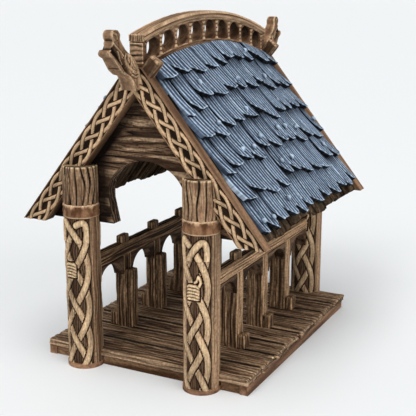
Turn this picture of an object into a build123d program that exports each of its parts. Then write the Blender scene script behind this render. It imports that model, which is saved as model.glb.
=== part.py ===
"""A small carved timber lychgate, made as a tabletop scenery model.

Four log posts stand at the corners of a plank deck and carry two carved gables.  A steep
shingled roof with an arched ridge lies between the gables.  Low arcaded side rails join the
posts, and a pierced crest with a dragon head at each end runs along the ridge.

Millimetres, +Z up.  The origin is on the ground at the middle of the deck.  The way through
runs along Y, with the front gable towards -Y, and +X is the right-hand side.
"""
import os
from math import atan2, cos, degrees, sin, sqrt

from build123d import *

# ---- driving dimensions ---------------------------------------------------------------------
# deck
DECK_WIDTH = 72.0            # along X, over the board ends
DECK_LENGTH = 84.8           # along Y, over the first and last boards
BEAM_HEIGHT = 2.9            # sills and joists
BOARD_THICK = 2.1
BOARD_COUNT = 8
BOARD_GAP = 0.2              # open joint between two boards
SILL_WIDTH = 2.6
SIDE_SILL_INSET = 0.9        # board ends reach this far past the side sills
END_SILL_INSET = 1.3         # the end sills stand back from the board edges
JOIST_SPACING = 18.0         # centre to centre

# posts; heights are measured from the ground
POST_SPACING_X = 41.0        # centre to centre, across the way through
POST_EDGE_INSET = 0.25       # a post's centre stands this far inside the deck's end
POST_RADIUS = 5.45
RING_PROUD = 0.3             # how far the foot ring stands proud of the shaft
RING_HEIGHT = 1.3
COLLAR_PROUD = 0.15
COLLAR_HEIGHT = 4.1
COLLAR_ABOVE_TIP = 2.9       # underside of the collar above the bargeboards' tips
LOG_HEIGHT = 11.5            # upper log, above the collar
LOG_SHRINK = 0.05            # the upper log is this much less in radius

# side rails
RAIL_THICK = 3.6             # along X; the balusters and arch braces are as thick
BALUSTER_COUNT = 3           # on each side, spaced so that all bays are alike
BALUSTER_WIDTH = 4.6         # along Y
BALUSTER_HEIGHT = 24.5       # deck to handrail
RAIL_HEIGHT = 4.2
RAIL_EDGE = 0.6              # worn top edges of the handrail
BRACE_HEIGHT = 6.1           # arch brace, from its foot to the handrail
BRACE_NOSE = 0.6             # thickness of a brace at its foot and at the crown of the arch
CROWN_GAP = 0.2              # joint between two braces at the crown
TENON_LENGTH = 4.6           # through tenon above the handrail, along Y
TENON_HEIGHT = 2.5
TENON_CHAMFER = 0.5
PLANK_THICK = 2.6            # cheek plank inside each baluster, along X
PLANK_WIDTH = 4.2
PLANK_HEIGHT = 19.8
PLANK_CHAMFER = 0.9
BLOCK_THICK = 2.6            # foot block outside each baluster, along X
BLOCK_WIDTH = 4.2
BLOCK_HEIGHT = 4.4
BLOCK_CHAMFER = 1.0

# gables
BOARD_TIP_X = 41.0           # lower tip of each bargeboard, from the middle and the ground
BOARD_TIP_Z = 45.0
GABLE_RISE = 51.2            # from the tips to where the boards' top edges would meet
BARGE_WIDTH = 6.4            # across the slope
BARGE_THICK = 4.45
BARGE_PROUD = 2.2            # outer face of the bargeboards, outside the posts' centres
PANEL_THICK = 3.9
PANEL_LIFT = 0.8             # foot of the gable board above the bargeboards' tips
GATE_ARCH_HALF = 13.1        # half width of the arch through the gable board
GATE_ARCH_RISE = 10.9
GATE_ARCH_SHIFT = 1.0        # it was carved this far to the right of the middle
GATE_SPRING = 9.2            # springing of the arch, above the foot of the gable board
GATE_NECK_DROP = 1.6         # this far below the springing the left leg starts to widen
GATE_FOOT_FLARE = 1.9        # how much wider it is at its foot; the right leg is straight

# roof; depths are measured down from the plane of the bargeboards' top edges, across the slope
RIDGE_LIFT = 6.0             # the ridge's highest point above the line between the gables
RIDGE_PEAK_Y = -3.0          # which lies a little towards the front
RIDGE_FALL = 5.6             # fall of the ridge's arc over half the roof's length
ROOF_TOP_DEPTH = 0.9
ROOF_BOARD_THICK = 2.2
ROOF_BAYS = 12               # straight bays that follow the ridge's arc
RIDGE_HALF = 3.0             # half width of the ridge beam
ROOF_EAVE_INSET = 1.65       # eaves of the roof boards and of the shingles, inside the tips
SHINGLE_EAVE_INSET = 0.8
COURSE_COUNT = 6
SHINGLE_TIP = 1.7            # height of a course's tips above the bargeboards' plane
SHINGLE_HEAD = 0.1           # the same where the next course up covers it

# ridge beam and crest; they follow the ridge's arc
CREST_FOOT = 98.4            # highest point of the crest's foot, above the ground
CREST_WEB_HEIGHT = 6.95
CREST_RAIL_HEIGHT = 2.4
CREST_OVERHANG = 2.1         # past the roof at each end
CREST_WEB_THICK = 3.5
CREST_END_THICK = 4.5        # the solid end of the web is thicker
CREST_END_LENGTH = 1.8
CREST_RAIL_THICK = 5.2
CREST_RAIL_ROUND = 0.9       # rounding of the rail's ends
OVAL_COUNT = 9
OVAL_GAP = 1.6               # column between two ovals
OVAL_END = 2.4               # solid length beyond the last one
OVAL_HEIGHT = 5.9
OVAL_LIFT = 0.15             # the ovals sit this much above the middle of the web

# rafter ends that cross over the apex, and the dragon heads
STUB_DEPTH = 3.55            # a stub's upper edge below its own slope's plane
STUB_WIDTH = 3.9
STUB_REACH = 5.2             # how far it stands out past the other slope's plane
STUB_THICK = 3.2
STUB_FACE_INSET = 1.15       # its outer face stands back from the bargeboards' face
DRAGON_FOOT_THICK = 5.0      # thickness of the dragon board at its foot and at its crown
DRAGON_TOP_THICK = 3.0
DRAGON_FOOT_DEPTH = 9.1      # its foot below the apex of the bargeboards
DRAGON_HEIGHT = 16.9
DRAGON_REACH = 14.4          # out from the bargeboards' face to the snout

FIT = 0.05                   # clearance where a piece is scribed round a post

# ---- worked out from the driving dimensions -------------------------------------------------
DECK_TOP = BEAM_HEIGHT + BOARD_THICK
POST_X = POST_SPACING_X / 2
POST_Y = DECK_LENGTH / 2 - POST_EDGE_INSET
RING_RADIUS = POST_RADIUS + RING_PROUD
COLLAR_BOTTOM = BOARD_TIP_Z + COLLAR_ABOVE_TIP
COLLAR_TOP = COLLAR_BOTTOM + COLLAR_HEIGHT
POST_TOP = COLLAR_TOP + LOG_HEIGHT

RAIL_INNER = POST_X - RAIL_THICK / 2
RAIL_OUTER = POST_X + RAIL_THICK / 2
RAIL_BOTTOM = DECK_TOP + BALUSTER_HEIGHT
RAIL_TOP = RAIL_BOTTOM + RAIL_HEIGHT
BAY = (2 * (POST_Y - POST_RADIUS) - BALUSTER_COUNT * BALUSTER_WIDTH) / (BALUSTER_COUNT + 1)
BALUSTER_Y = [(BAY + BALUSTER_WIDTH) * (i - (BALUSTER_COUNT - 1) / 2)
              for i in range(BALUSTER_COUNT)]

APEX_Z = BOARD_TIP_Z + GABLE_RISE
SLOPE = atan2(GABLE_RISE, BOARD_TIP_X)
BARGE_FACE_Y = POST_Y + BARGE_PROUD
BARGE_BACK_Y = BARGE_FACE_Y - BARGE_THICK
PANEL_BACK_Y = BARGE_BACK_Y - PANEL_THICK
PANEL_BOTTOM = BOARD_TIP_Z + PANEL_LIFT
ROOF_UNDER_DEPTH = ROOF_TOP_DEPTH + ROOF_BOARD_THICK
SIDES = {"left": -1, "right": 1}
ENDS = {"front": -1, "rear": 1}


def gable_line(x, depth=0.0, lift=0.0):
    """Height of the bargeboards' top plane at x, less a depth across the slope, plus a lift.

    The lift is the extra height of the ridge; it fades out to nothing at the eaves."""
    up = 1 - abs(x) / BOARD_TIP_X
    return BOARD_TIP_Z + up * (GABLE_RISE + lift) - depth / cos(SLOPE)


ARC_RADIUS = (BARGE_BACK_Y ** 2 + RIDGE_FALL ** 2) / (2 * RIDGE_FALL)
CREST_HALF_LENGTH = BARGE_BACK_Y + CREST_OVERHANG
OVAL_PITCH = (2 * (CREST_HALF_LENGTH - OVAL_END) + OVAL_GAP) / OVAL_COUNT
OVAL_LENGTH = OVAL_PITCH - OVAL_GAP


def arc_fall(y):
    """Fall of the ridge's arc from its highest point to y."""
    return ARC_RADIUS - sqrt(ARC_RADIUS ** 2 - (y - RIDGE_PEAK_Y) ** 2)


def ridge_lift(y):
    """Extra height of the roof at y, measured at the apex; the ridge beam follows the arc."""
    return RIDGE_LIFT - arc_fall(y) / (1 - RIDGE_HALF / BOARD_TIP_X)


# ---- helpers --------------------------------------------------------------------------------
def block(x0, x1, y0, y1, z0, z1):
    """A plain box between two corners, given in any order."""
    x0, x1 = sorted((x0, x1))
    y0, y1 = sorted((y0, y1))
    centre = ((x0 + x1) / 2, (y0 + y1) / 2, (z0 + z1) / 2)
    return Pos(*centre) * Box(x1 - x0, y1 - y0, z1 - z0)


def upright(x, y, radius, z0, z1):
    """A vertical cylinder."""
    return Pos(x, y, (z0 + z1) / 2) * Cylinder(radius, z1 - z0)


def across(points, y0, y1):
    """A prism along Y over a polygon of (x, z) points."""
    y0, y1 = sorted((y0, y1))
    outline = Polyline(*[(x, y0, z) for x, z in points], close=True)
    return extrude(Face(Wire(outline.edges())), amount=y1 - y0, dir=(0, 1, 0))


def along_x(edges, x0, x1):
    """A prism along X over a closed loop of edges that lies in the YZ plane at x = 0."""
    x0, x1 = sorted((x0, x1))
    face = Face(Wire(edges))
    return Pos(x0, 0, 0) * extrude(face, amount=x1 - x0, dir=(1, 0, 0))


def scribed(solid, radius=POST_RADIUS):
    """The solid with the space of the four posts cut away, with the scribing clearance."""
    for s in SIDES.values():
        for e in ENDS.values():
            solid = solid - upright(s * POST_X, e * POST_Y, radius + FIT, -1, POST_TOP)
    return solid


def write(name, *solids):
    """Write one node, made of one solid or of several that do not touch."""
    pieces = [piece for solid in solids for piece in solid.solids()]
    shape = pieces[0] if len(pieces) == 1 else Compound(children=pieces)
    shape.label = name
    export_step(shape, os.path.join("parts", name + ".step"))


# ---- deck -----------------------------------------------------------------------------------
def deck():
    pitch = DECK_LENGTH / BOARD_COUNT
    boards = []
    for i in range(BOARD_COUNT):
        y0 = -DECK_LENGTH / 2 + i * pitch + (BOARD_GAP / 2 if i else 0)
        y1 = -DECK_LENGTH / 2 + (i + 1) * pitch - (BOARD_GAP / 2 if i < BOARD_COUNT - 1 else 0)
        board = block(-DECK_WIDTH / 2, DECK_WIDTH / 2, y0, y1, BEAM_HEIGHT, DECK_TOP)
        boards.append(scribed(board) if i in (0, BOARD_COUNT - 1) else board)
    write("deck_boards", *boards)

    sill_out = DECK_WIDTH / 2 - SIDE_SILL_INSET
    end_out = DECK_LENGTH / 2 - END_SILL_INSET
    nose = DECK_LENGTH / 2 - SIDE_SILL_INSET
    for side, s in SIDES.items():
        write("side_sill_" + side,
              block(s * (sill_out - SILL_WIDTH), s * sill_out, -nose, nose, 0, BEAM_HEIGHT))
    sills = []
    for e in ENDS.values():
        sill = block(-sill_out + SILL_WIDTH, sill_out - SILL_WIDTH,
                     e * (end_out - SILL_WIDTH), e * end_out, 0, BEAM_HEIGHT)
        sills.append(scribed(sill, RING_RADIUS))
    write("end_sills", *sills)
    write("deck_joists", *[block(x - SILL_WIDTH / 2, x + SILL_WIDTH / 2, -end_out + SILL_WIDTH,
                                 end_out - SILL_WIDTH, 0, BEAM_HEIGHT)
                           for x in (-JOIST_SPACING / 2, JOIST_SPACING / 2)])


# ---- posts ----------------------------------------------------------------------------------
def barge_prism(s, e):
    """One bargeboard: a sloping plank with a plumb cut at the apex and a level cut at the tip."""
    depth = BARGE_WIDTH / cos(SLOPE)
    reach = BARGE_WIDTH / sin(SLOPE)
    seat = CREST_FOOT - arc_fall(e * CREST_HALF_LENGTH)     # cut flat under the crest
    seat_x = (APEX_Z - seat) * BOARD_TIP_X / GABLE_RISE
    points = [(0, APEX_Z - depth), (0, seat), (s * seat_x, seat),
              (s * BOARD_TIP_X, BOARD_TIP_Z), (s * (BOARD_TIP_X - reach), BOARD_TIP_Z)]
    return across(points, e * BARGE_BACK_Y, e * BARGE_FACE_Y)


def posts():
    rings, collars = [], []
    for end, e in ENDS.items():
        for side, s in SIDES.items():
            x, y = s * POST_X, e * POST_Y
            # above the gable board's foot the back of the post is housed flat against the board
            housing = block(x - 2 * POST_RADIUS, x + 2 * POST_RADIUS, e * BARGE_BACK_Y,
                            e * (POST_Y - 2 * POST_RADIUS), PANEL_BOTTOM, POST_TOP + 1)
            shaft = upright(x, y, POST_RADIUS, RING_HEIGHT, COLLAR_BOTTOM) - housing
            collar = upright(x, y, POST_RADIUS + COLLAR_PROUD, COLLAR_BOTTOM, COLLAR_TOP) - housing
            log = upright(x, y, POST_RADIUS - LOG_SHRINK, COLLAR_TOP, POST_TOP) - housing - barge_prism(s, e)
            collar = collar - barge_prism(s, e)
            write("post_%s_%s" % (end, side), shaft)
            write("post_top_%s_%s" % (end, side), log)
            rings.append(upright(x, y, RING_RADIUS - FIT, 0, RING_HEIGHT))
            collars.append(collar)
    write("post_foot_rings", *rings)
    write("post_collars", *collars)


# ---- side rails -----------------------------------------------------------------------------
def arch_brace(x0, x1, y_foot, y_crown):
    """A curved brace that springs from y_foot and ends at the crown of its arch, at y_crown."""
    step = 1 if y_crown > y_foot else -1
    spring = RAIL_BOTTOM - BRACE_HEIGHT
    crown = RAIL_BOTTOM - BRACE_NOSE
    nose = y_foot + step * BRACE_NOSE
    tip = y_crown - step * CROWN_GAP / 2
    # the middle point of a quarter ellipse from the nose to the crown
    mid_y = nose + (y_crown - nose) * (1 - sqrt(0.5))
    mid_z = spring + (crown - spring) * sqrt(0.5)
    corner = Polyline((0, nose, spring), (0, y_foot, spring), (0, y_foot, RAIL_BOTTOM),
                      (0, tip, RAIL_BOTTOM), (0, tip, crown))
    arc = ThreePointArc((0, tip, crown), (0, mid_y, mid_z), (0, nose, spring))
    return along_x(corner.edges() + arc.edges(), x0, x1)


def side_rails():
    tenons, planks, blocks = [], [], []
    post_edge = POST_Y - POST_RADIUS
    for side, s in SIDES.items():
        inner, outer = s * RAIL_INNER, s * RAIL_OUTER
        rail = block(inner, outer, -POST_Y, POST_Y, RAIL_BOTTOM, RAIL_TOP)
        rail = chamfer(rail.edges().filter_by(Axis.Y).group_by(Axis.Z)[-1], RAIL_EDGE)
        write("handrail_" + side, scribed(rail))

        braces = []
        feet = [-POST_Y] + BALUSTER_Y + [POST_Y]
        for lower, upper in zip(feet, feet[1:]):
            y0 = -post_edge if lower == -POST_Y else lower + BALUSTER_WIDTH / 2
            y1 = post_edge if upper == POST_Y else upper - BALUSTER_WIDTH / 2
            crown = (y0 + y1) / 2
            # beside a post the brace runs on into the post's round and is scribed to it
            braces.append(scribed(arch_brace(inner, outer, y0, crown)))
            braces.append(scribed(arch_brace(inner, outer, y1, crown)))
        write("arch_braces_" + side, *braces)

        for i, y in enumerate(BALUSTER_Y, start=1):
            write("baluster_%s_%d" % (side, i),
                  block(inner, outer, y - BALUSTER_WIDTH / 2, y + BALUSTER_WIDTH / 2,
                        DECK_TOP, RAIL_BOTTOM))
            tenon = block(inner + s * RAIL_EDGE, outer - s * RAIL_EDGE, y - TENON_LENGTH / 2,
                          y + TENON_LENGTH / 2, RAIL_TOP, RAIL_TOP + TENON_HEIGHT)
            tenons.append(chamfer(tenon.faces().sort_by(Axis.Z)[-1].edges(), TENON_CHAMFER))
            plank = block(inner - s * PLANK_THICK, inner, y - PLANK_WIDTH / 2,
                          y + PLANK_WIDTH / 2, DECK_TOP, DECK_TOP + PLANK_HEIGHT)
            edge = plank.faces().sort_by(Axis.Z)[-1].edges().filter_by(Axis.Y)
            planks.append(chamfer(edge.sort_by(Axis.X)[-1 if s < 0 else 0], PLANK_CHAMFER))
            foot = block(outer, outer + s * BLOCK_THICK, y - BLOCK_WIDTH / 2,
                         y + BLOCK_WIDTH / 2, DECK_TOP, DECK_TOP + BLOCK_HEIGHT)
            edge = foot.faces().sort_by(Axis.Z)[-1].edges().filter_by(Axis.Y)
            blocks.append(chamfer(edge.sort_by(Axis.X)[-1 if s > 0 else 0], BLOCK_CHAMFER))
    write("rail_tenons", *tenons)
    write("inner_planks", *planks)
    write("foot_blocks", *blocks)


# ---- gables ---------------------------------------------------------------------------------
def gable_board(e):
    """The board behind the bargeboards, with the arch of the way through cut out of it."""
    lift = ridge_lift(e * BARGE_BACK_Y)
    top = gable_line(RIDGE_HALF, ROOF_UNDER_DEPTH, lift)
    slant = (RIDGE_HALF - BOARD_TIP_X) / (top - gable_line(BOARD_TIP_X, ROOF_UNDER_DEPTH, lift))
    corner_x = RIDGE_HALF + slant * (PANEL_BOTTOM - top)
    board = across([(-corner_x, PANEL_BOTTOM), (corner_x, PANEL_BOTTOM),
                    (RIDGE_HALF, top), (-RIDGE_HALF, top)],
                   e * PANEL_BACK_Y, e * BARGE_BACK_Y)
    spring = PANEL_BOTTOM + GATE_SPRING
    neck = spring - GATE_NECK_DROP
    left, right = GATE_ARCH_SHIFT - GATE_ARCH_HALF, GATE_ARCH_SHIFT + GATE_ARCH_HALF
    way = across([(right, spring), (right, PANEL_BOTTOM - 1),
                  (left + GATE_FOOT_FLARE, PANEL_BOTTOM - 1), (left, neck), (left, spring)],
                 e * (PANEL_BACK_Y - 1), e * (BARGE_BACK_Y + 1))
    mid_y = e * (PANEL_BACK_Y + BARGE_BACK_Y) / 2
    head = Pos(GATE_ARCH_SHIFT, mid_y, spring) * Rot(90, 0, 0) * extrude(
        Ellipse(GATE_ARCH_HALF, GATE_ARCH_RISE), amount=PANEL_THICK, both=True)
    return board - way - head


def dragon_outline():
    """Side view of a dragon head as (outward, z) points, from the foot up the throat, round the
    snout and the curled upper lip, and down the nape.  The points are shares of the reach and
    the height."""
    throat = [(0, 0), (0.17, 0), (0.24, 0.16), (0.33, 0.25), (0.49, 0.28), (0.64, 0.36),
              (0.75, 0.46)]
    snout = [(0.84, 0.55), (0.97, 0.60), (1.0, 0.64), (0.97, 0.69), (0.88, 0.70)]
    lip = [(0.83, 0.76), (0.81, 0.83), (0.85, 0.88), (0.85, 0.94), (0.81, 0.99), (0.75, 1.0),
           (0.63, 0.99), (0.56, 0.93), (0.58, 0.85)]
    nape = [(0.52, 0.775), (0.42, 0.68), (0.33, 0.63), (0.19, 0.56), (0.09, 0.48), (0, 0.37)]
    foot_z = APEX_Z - DRAGON_FOOT_DEPTH
    return [(BARGE_FACE_Y + out * DRAGON_REACH, foot_z + up * DRAGON_HEIGHT)
            for out, up in throat + snout + lip + nape]


def dragon_head(e):
    """A thick sawn board that thins towards its top."""
    outline = Polyline(*[(0, e * y, z) for y, z in dragon_outline()], close=True)
    plank = along_x(outline.edges(), -DRAGON_FOOT_THICK / 2, DRAGON_FOOT_THICK / 2)
    foot, top = APEX_Z - DRAGON_FOOT_DEPTH, APEX_Z - DRAGON_FOOT_DEPTH + DRAGON_HEIGHT
    taper = [(-DRAGON_FOOT_THICK / 2, foot), (DRAGON_FOOT_THICK / 2, foot),
             (DRAGON_TOP_THICK / 2, top), (-DRAGON_TOP_THICK / 2, top)]
    return plank & across(taper, e * (BARGE_FACE_Y - 1), e * (BARGE_FACE_Y + DRAGON_REACH + 1))


def crossing_stub(s, e):
    """The end of a rafter that has crossed the apex and stands out of the slope on side s."""
    def leaves(depth):
        """Where an edge at this depth below the rafter's own plane leaves slope s."""
        x = depth / (2 * sin(SLOPE))
        return s * x, gable_line(x)

    near, far = leaves(STUB_DEPTH), leaves(STUB_DEPTH + STUB_WIDTH)
    tip_far = (far[0] + s * cos(SLOPE) * STUB_REACH, far[1] + sin(SLOPE) * STUB_REACH)
    tip_near = (tip_far[0] - s * sin(SLOPE) * STUB_WIDTH, tip_far[1] + cos(SLOPE) * STUB_WIDTH)
    face = BARGE_FACE_Y - STUB_FACE_INSET
    return across([near, far, tip_far, tip_near], e * (face - STUB_THICK), e * face)


def gables():
    for end, e in ENDS.items():
        write("gable_board_" + end, gable_board(e))
        for side, s in SIDES.items():
            write("bargeboard_%s_%s" % (end, side), barge_prism(s, e))
        write("crossing_ends_" + end, *[crossing_stub(s, e) for s in SIDES.values()])
        write("dragon_head_" + end, dragon_head(e))


# ---- roof -----------------------------------------------------------------------------------
def roof_layer(section):
    """A solid from gable to gable that follows the ridge's arc in straight bays, as boards laid
    side by side do; section(lift) gives its (x, z) outline."""
    faces = []
    for i in range(ROOF_BAYS + 1):
        y = BARGE_BACK_Y * (2 * i / ROOF_BAYS - 1)
        outline = Polyline(*[(x, y, z) for x, z in section(ridge_lift(y))], close=True)
        faces.append(Face(Wire(outline.edges())))
    return loft(faces, ruled=True)


def roof():
    """The roof boards and, on them, the courses of shingles; all lower ends are cut square."""
    for side, s in SIDES.items():
        def boards(lift, s=s):
            eave = BOARD_TIP_X - ROOF_EAVE_INSET
            under = eave - ROOF_BOARD_THICK * sin(SLOPE)
            return [(s * x, gable_line(x, depth, lift))
                    for x, depth in ((RIDGE_HALF, ROOF_TOP_DEPTH), (eave, ROOF_TOP_DEPTH),
                                     (under, ROOF_UNDER_DEPTH), (RIDGE_HALF, ROOF_UNDER_DEPTH))]

        def shingles(lift, s=s):
            eave = BOARD_TIP_X - SHINGLE_EAVE_INSET
            step = (eave - RIDGE_HALF) / COURSE_COUNT
            under = eave - (ROOF_TOP_DEPTH + SHINGLE_TIP) * sin(SLOPE)
            cut = (SHINGLE_TIP - SHINGLE_HEAD) * sin(SLOPE)
            points = [(under, ROOF_TOP_DEPTH), (RIDGE_HALF, ROOF_TOP_DEPTH)]
            for i in range(COURSE_COUNT):
                points.append((RIDGE_HALF + i * step - (cut if i else 0), -SHINGLE_HEAD))
                points.append((RIDGE_HALF + (i + 1) * step, -SHINGLE_TIP))
            return [(s * x, gable_line(x, depth, lift)) for x, depth in points]

        write("roof_boards_" + side, roof_layer(boards))
        write("shingle_courses_" + side, roof_layer(shingles))


# ---- ridge and crest ------------------------------------------------------------------------
def arched(half_length, low, high):
    """Closed loop in the YZ plane between two lines that follow the ridge's arc; low and high
    are their heights at its highest point."""
    ends = (-half_length, RIDGE_PEAK_Y, half_length)
    under = [(0, y, low - arc_fall(y)) for y in ends]
    over = [(0, y, high - arc_fall(y)) for y in reversed(ends)]
    return (ThreePointArc(*under).edges() + Line(under[-1], over[0]).edges()
            + ThreePointArc(*over).edges() + Line(over[-1], under[0]).edges())


def crest():
    beam_foot = gable_line(RIDGE_HALF, ROOF_UNDER_DEPTH, RIDGE_LIFT)
    beam = arched(BARGE_BACK_Y, beam_foot, CREST_FOOT)
    write("ridge_beam", along_x(beam, -RIDGE_HALF, RIDGE_HALF))

    web_top = CREST_FOOT + CREST_WEB_HEIGHT
    outline = arched(CREST_HALF_LENGTH, CREST_FOOT, web_top)
    ovals = []
    for i in range(OVAL_COUNT):
        y = OVAL_PITCH * (i - (OVAL_COUNT - 1) / 2)
        z = CREST_FOOT + CREST_WEB_HEIGHT / 2 + OVAL_LIFT - arc_fall(y)
        lean = degrees(atan2(arc_fall(y - 1) - arc_fall(y + 1), 2))
        plane = Plane(origin=(0, y, z), z_dir=(1, 0, 0), x_dir=(0, 1, 0))
        oval = Edge.make_ellipse(OVAL_LENGTH / 2, OVAL_HEIGHT / 2, plane)
        ovals.append(Wire([oval.rotate(Axis((0, y, z), (1, 0, 0)), lean)]))
    face = Face(Wire(outline)).make_holes(ovals)
    web = extrude(face, amount=CREST_WEB_THICK, dir=(1, 0, 0))
    web = Pos(-CREST_WEB_THICK / 2, 0, 0) * web
    whole = along_x(outline, -CREST_END_THICK / 2, CREST_END_THICK / 2)
    for e in ENDS.values():
        web = web + (whole & block(-CREST_END_THICK, CREST_END_THICK, e * CREST_HALF_LENGTH,
                                   e * (CREST_HALF_LENGTH - CREST_END_LENGTH), 0, web_top + 1))
    write("crest_web", web)

    rail = along_x(arched(CREST_HALF_LENGTH, web_top, web_top + CREST_RAIL_HEIGHT),
                   -CREST_RAIL_THICK / 2, CREST_RAIL_THICK / 2)
    upper = [rail.edges().filter_by(Axis.X).group_by(Axis.Y)[i].sort_by(Axis.Z)[-1]
             for i in (0, -1)]
    write("crest_rail", fillet(upper, CREST_RAIL_ROUND))


os.makedirs("parts", exist_ok=True)
deck()
posts()
side_rails()
gables()
roof()
crest()
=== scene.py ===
"""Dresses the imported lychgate: carved and dry-brushed timber, a slate-blue shingled roof, and
the studio it stands in.  Laid out as an add-on and run as a script.

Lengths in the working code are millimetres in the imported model's frame; they are turned into
metres where a mesh is made.
"""
from math import cos, pi, radians, sin, tan

import bpy
import numpy as np
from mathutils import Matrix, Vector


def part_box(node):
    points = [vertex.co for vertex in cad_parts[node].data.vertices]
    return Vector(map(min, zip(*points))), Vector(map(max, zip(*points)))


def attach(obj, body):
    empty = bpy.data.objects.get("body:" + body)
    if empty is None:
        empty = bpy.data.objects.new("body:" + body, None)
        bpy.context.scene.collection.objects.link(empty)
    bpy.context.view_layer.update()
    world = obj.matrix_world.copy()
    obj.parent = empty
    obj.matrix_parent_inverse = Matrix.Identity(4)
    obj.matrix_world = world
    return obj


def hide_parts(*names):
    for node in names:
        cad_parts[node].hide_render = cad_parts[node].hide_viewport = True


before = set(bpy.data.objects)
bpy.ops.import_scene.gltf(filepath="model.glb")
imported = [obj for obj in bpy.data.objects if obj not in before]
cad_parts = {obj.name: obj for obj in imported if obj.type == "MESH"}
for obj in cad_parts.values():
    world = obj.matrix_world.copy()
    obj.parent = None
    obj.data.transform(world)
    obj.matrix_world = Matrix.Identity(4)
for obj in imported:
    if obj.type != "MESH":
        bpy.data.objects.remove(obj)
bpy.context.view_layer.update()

bl_info = {
    "name": "Lychgate dressing",
    "version": (1, 0, 0),
    "blender": (4, 5, 0),
    "location": "3D View > Sidebar > Lychgate",
    "description": "Carved timber, shingles and studio for the packed lychgate",
    "category": "Object",
}

MM = 0.001
SIDES = {"left": -1, "right": 1}
ENDS = {"front": -1, "rear": 1}
# values of a piece's points that its paint reads: worn ridges and painted highlights, dark
# grooves and painted shade, plaited strands, and a place in millimetres whose first number runs
# along the grain
TONES = ("ridge", "groove", "strand", "grain")
ACROSS_Y = [0, 1.0, 0]
ACROSS_X = [1.0, 0, 0]


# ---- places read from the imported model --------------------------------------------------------
def box_mm(node):
    """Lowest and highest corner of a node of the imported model, in millimetres."""
    low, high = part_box(node)
    return np.array(low) * 1000, np.array(high) * 1000


POST_LOW, POST_HIGH = box_mm("post_front_right")
POST_X = (POST_LOW[0] + POST_HIGH[0]) / 2
POST_RADIUS = (POST_HIGH[0] - POST_LOW[0]) / 2
POST_Y = -POST_LOW[1] - POST_RADIUS
BARGE_LOW, BARGE_HIGH = box_mm("bargeboard_front_right")
TIP_X, TIP_Z = BARGE_HIGH[0], BARGE_LOW[2]
BARGE_FACE, BARGE_BACK = -BARGE_LOW[1], -BARGE_HIGH[1]


# ---- sizes and colours a user may change ------------------------------------------------------
def length(name, description, default):
    """A length property, in metres."""
    return bpy.props.FloatProperty(name=name, description=description, default=default,
                                   min=0.0, precision=5, unit="LENGTH", subtype="DISTANCE")


def colour(name, description, default):
    """A colour property, with linear values."""
    return bpy.props.FloatVectorProperty(name=name, description=description, size=4, min=0.0,
                                         max=1.0, default=default + (1.0,), subtype="COLOR")


class LychgateCarving(bpy.types.PropertyGroup):
    """Sizes of the carved work."""
    gable_rise: length("Gable rise", "Height of the gable from its tips to its apex", 0.0512)
    board_width: length("Bargeboard width", "Width of a bargeboard across its slope", 0.0064)
    board_plait: length("Board plait pitch", "Distance between two crossings of the plait on "
                        "the bargeboards", 0.0065)
    board_strand: length("Board strand", "Width of a strand on the bargeboards", 0.00102)
    post_plait: length("Post plait pitch", "Distance between two crossings of the plait on "
                       "the posts", 0.0117)
    post_strand: length("Post strand", "Width of a strand on the posts", 0.00208)
    plank_gap: length("Plank gap", "Gap between two planks of the deck", 0.001)


class LychgateRoof(bpy.types.PropertyGroup):
    """Sizes of the roof."""
    courses: bpy.props.IntProperty(name="Courses", description="Rows of shingles on a slope",
                                   default=6, min=2, max=12)
    shingle_width: length("Shingle width", "Mean width of a shingle", 0.0071)
    shingle_length: length("Shingle length", "Mean length of a shingle", 0.0165)
    shingle_thick: length("Shingle thickness", "Thickness of a shingle at its tip", 0.0017)
    peg_radius: length("Peg radius", "Radius of the round pegs in the shingles", 0.00092)
    ridge_lift: length("Ridge lift", "Highest point of the ridge above the line between the "
                       "gables", 0.006)
    ridge_peak: bpy.props.FloatProperty(name="Ridge peak", description="Where along the roof "
                                        "the ridge is highest", default=-0.003,
                                        unit="LENGTH", subtype="DISTANCE")
    ridge_fall: length("Ridge fall", "Fall of the ridge's arc over half the roof", 0.0056)
    peg_share: bpy.props.FloatProperty(name="Peg share", description="Share of the shingles "
                                       "that have a peg", default=0.28, min=0.0, max=1.0,
                                       subtype="FACTOR")
    board_pitch: length("Roof board pitch", "Distance between the boards under the shingles",
                        0.00998)
    board_gap: length("Roof board gap", "Gap between two boards under the shingles", 0.0011)


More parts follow.
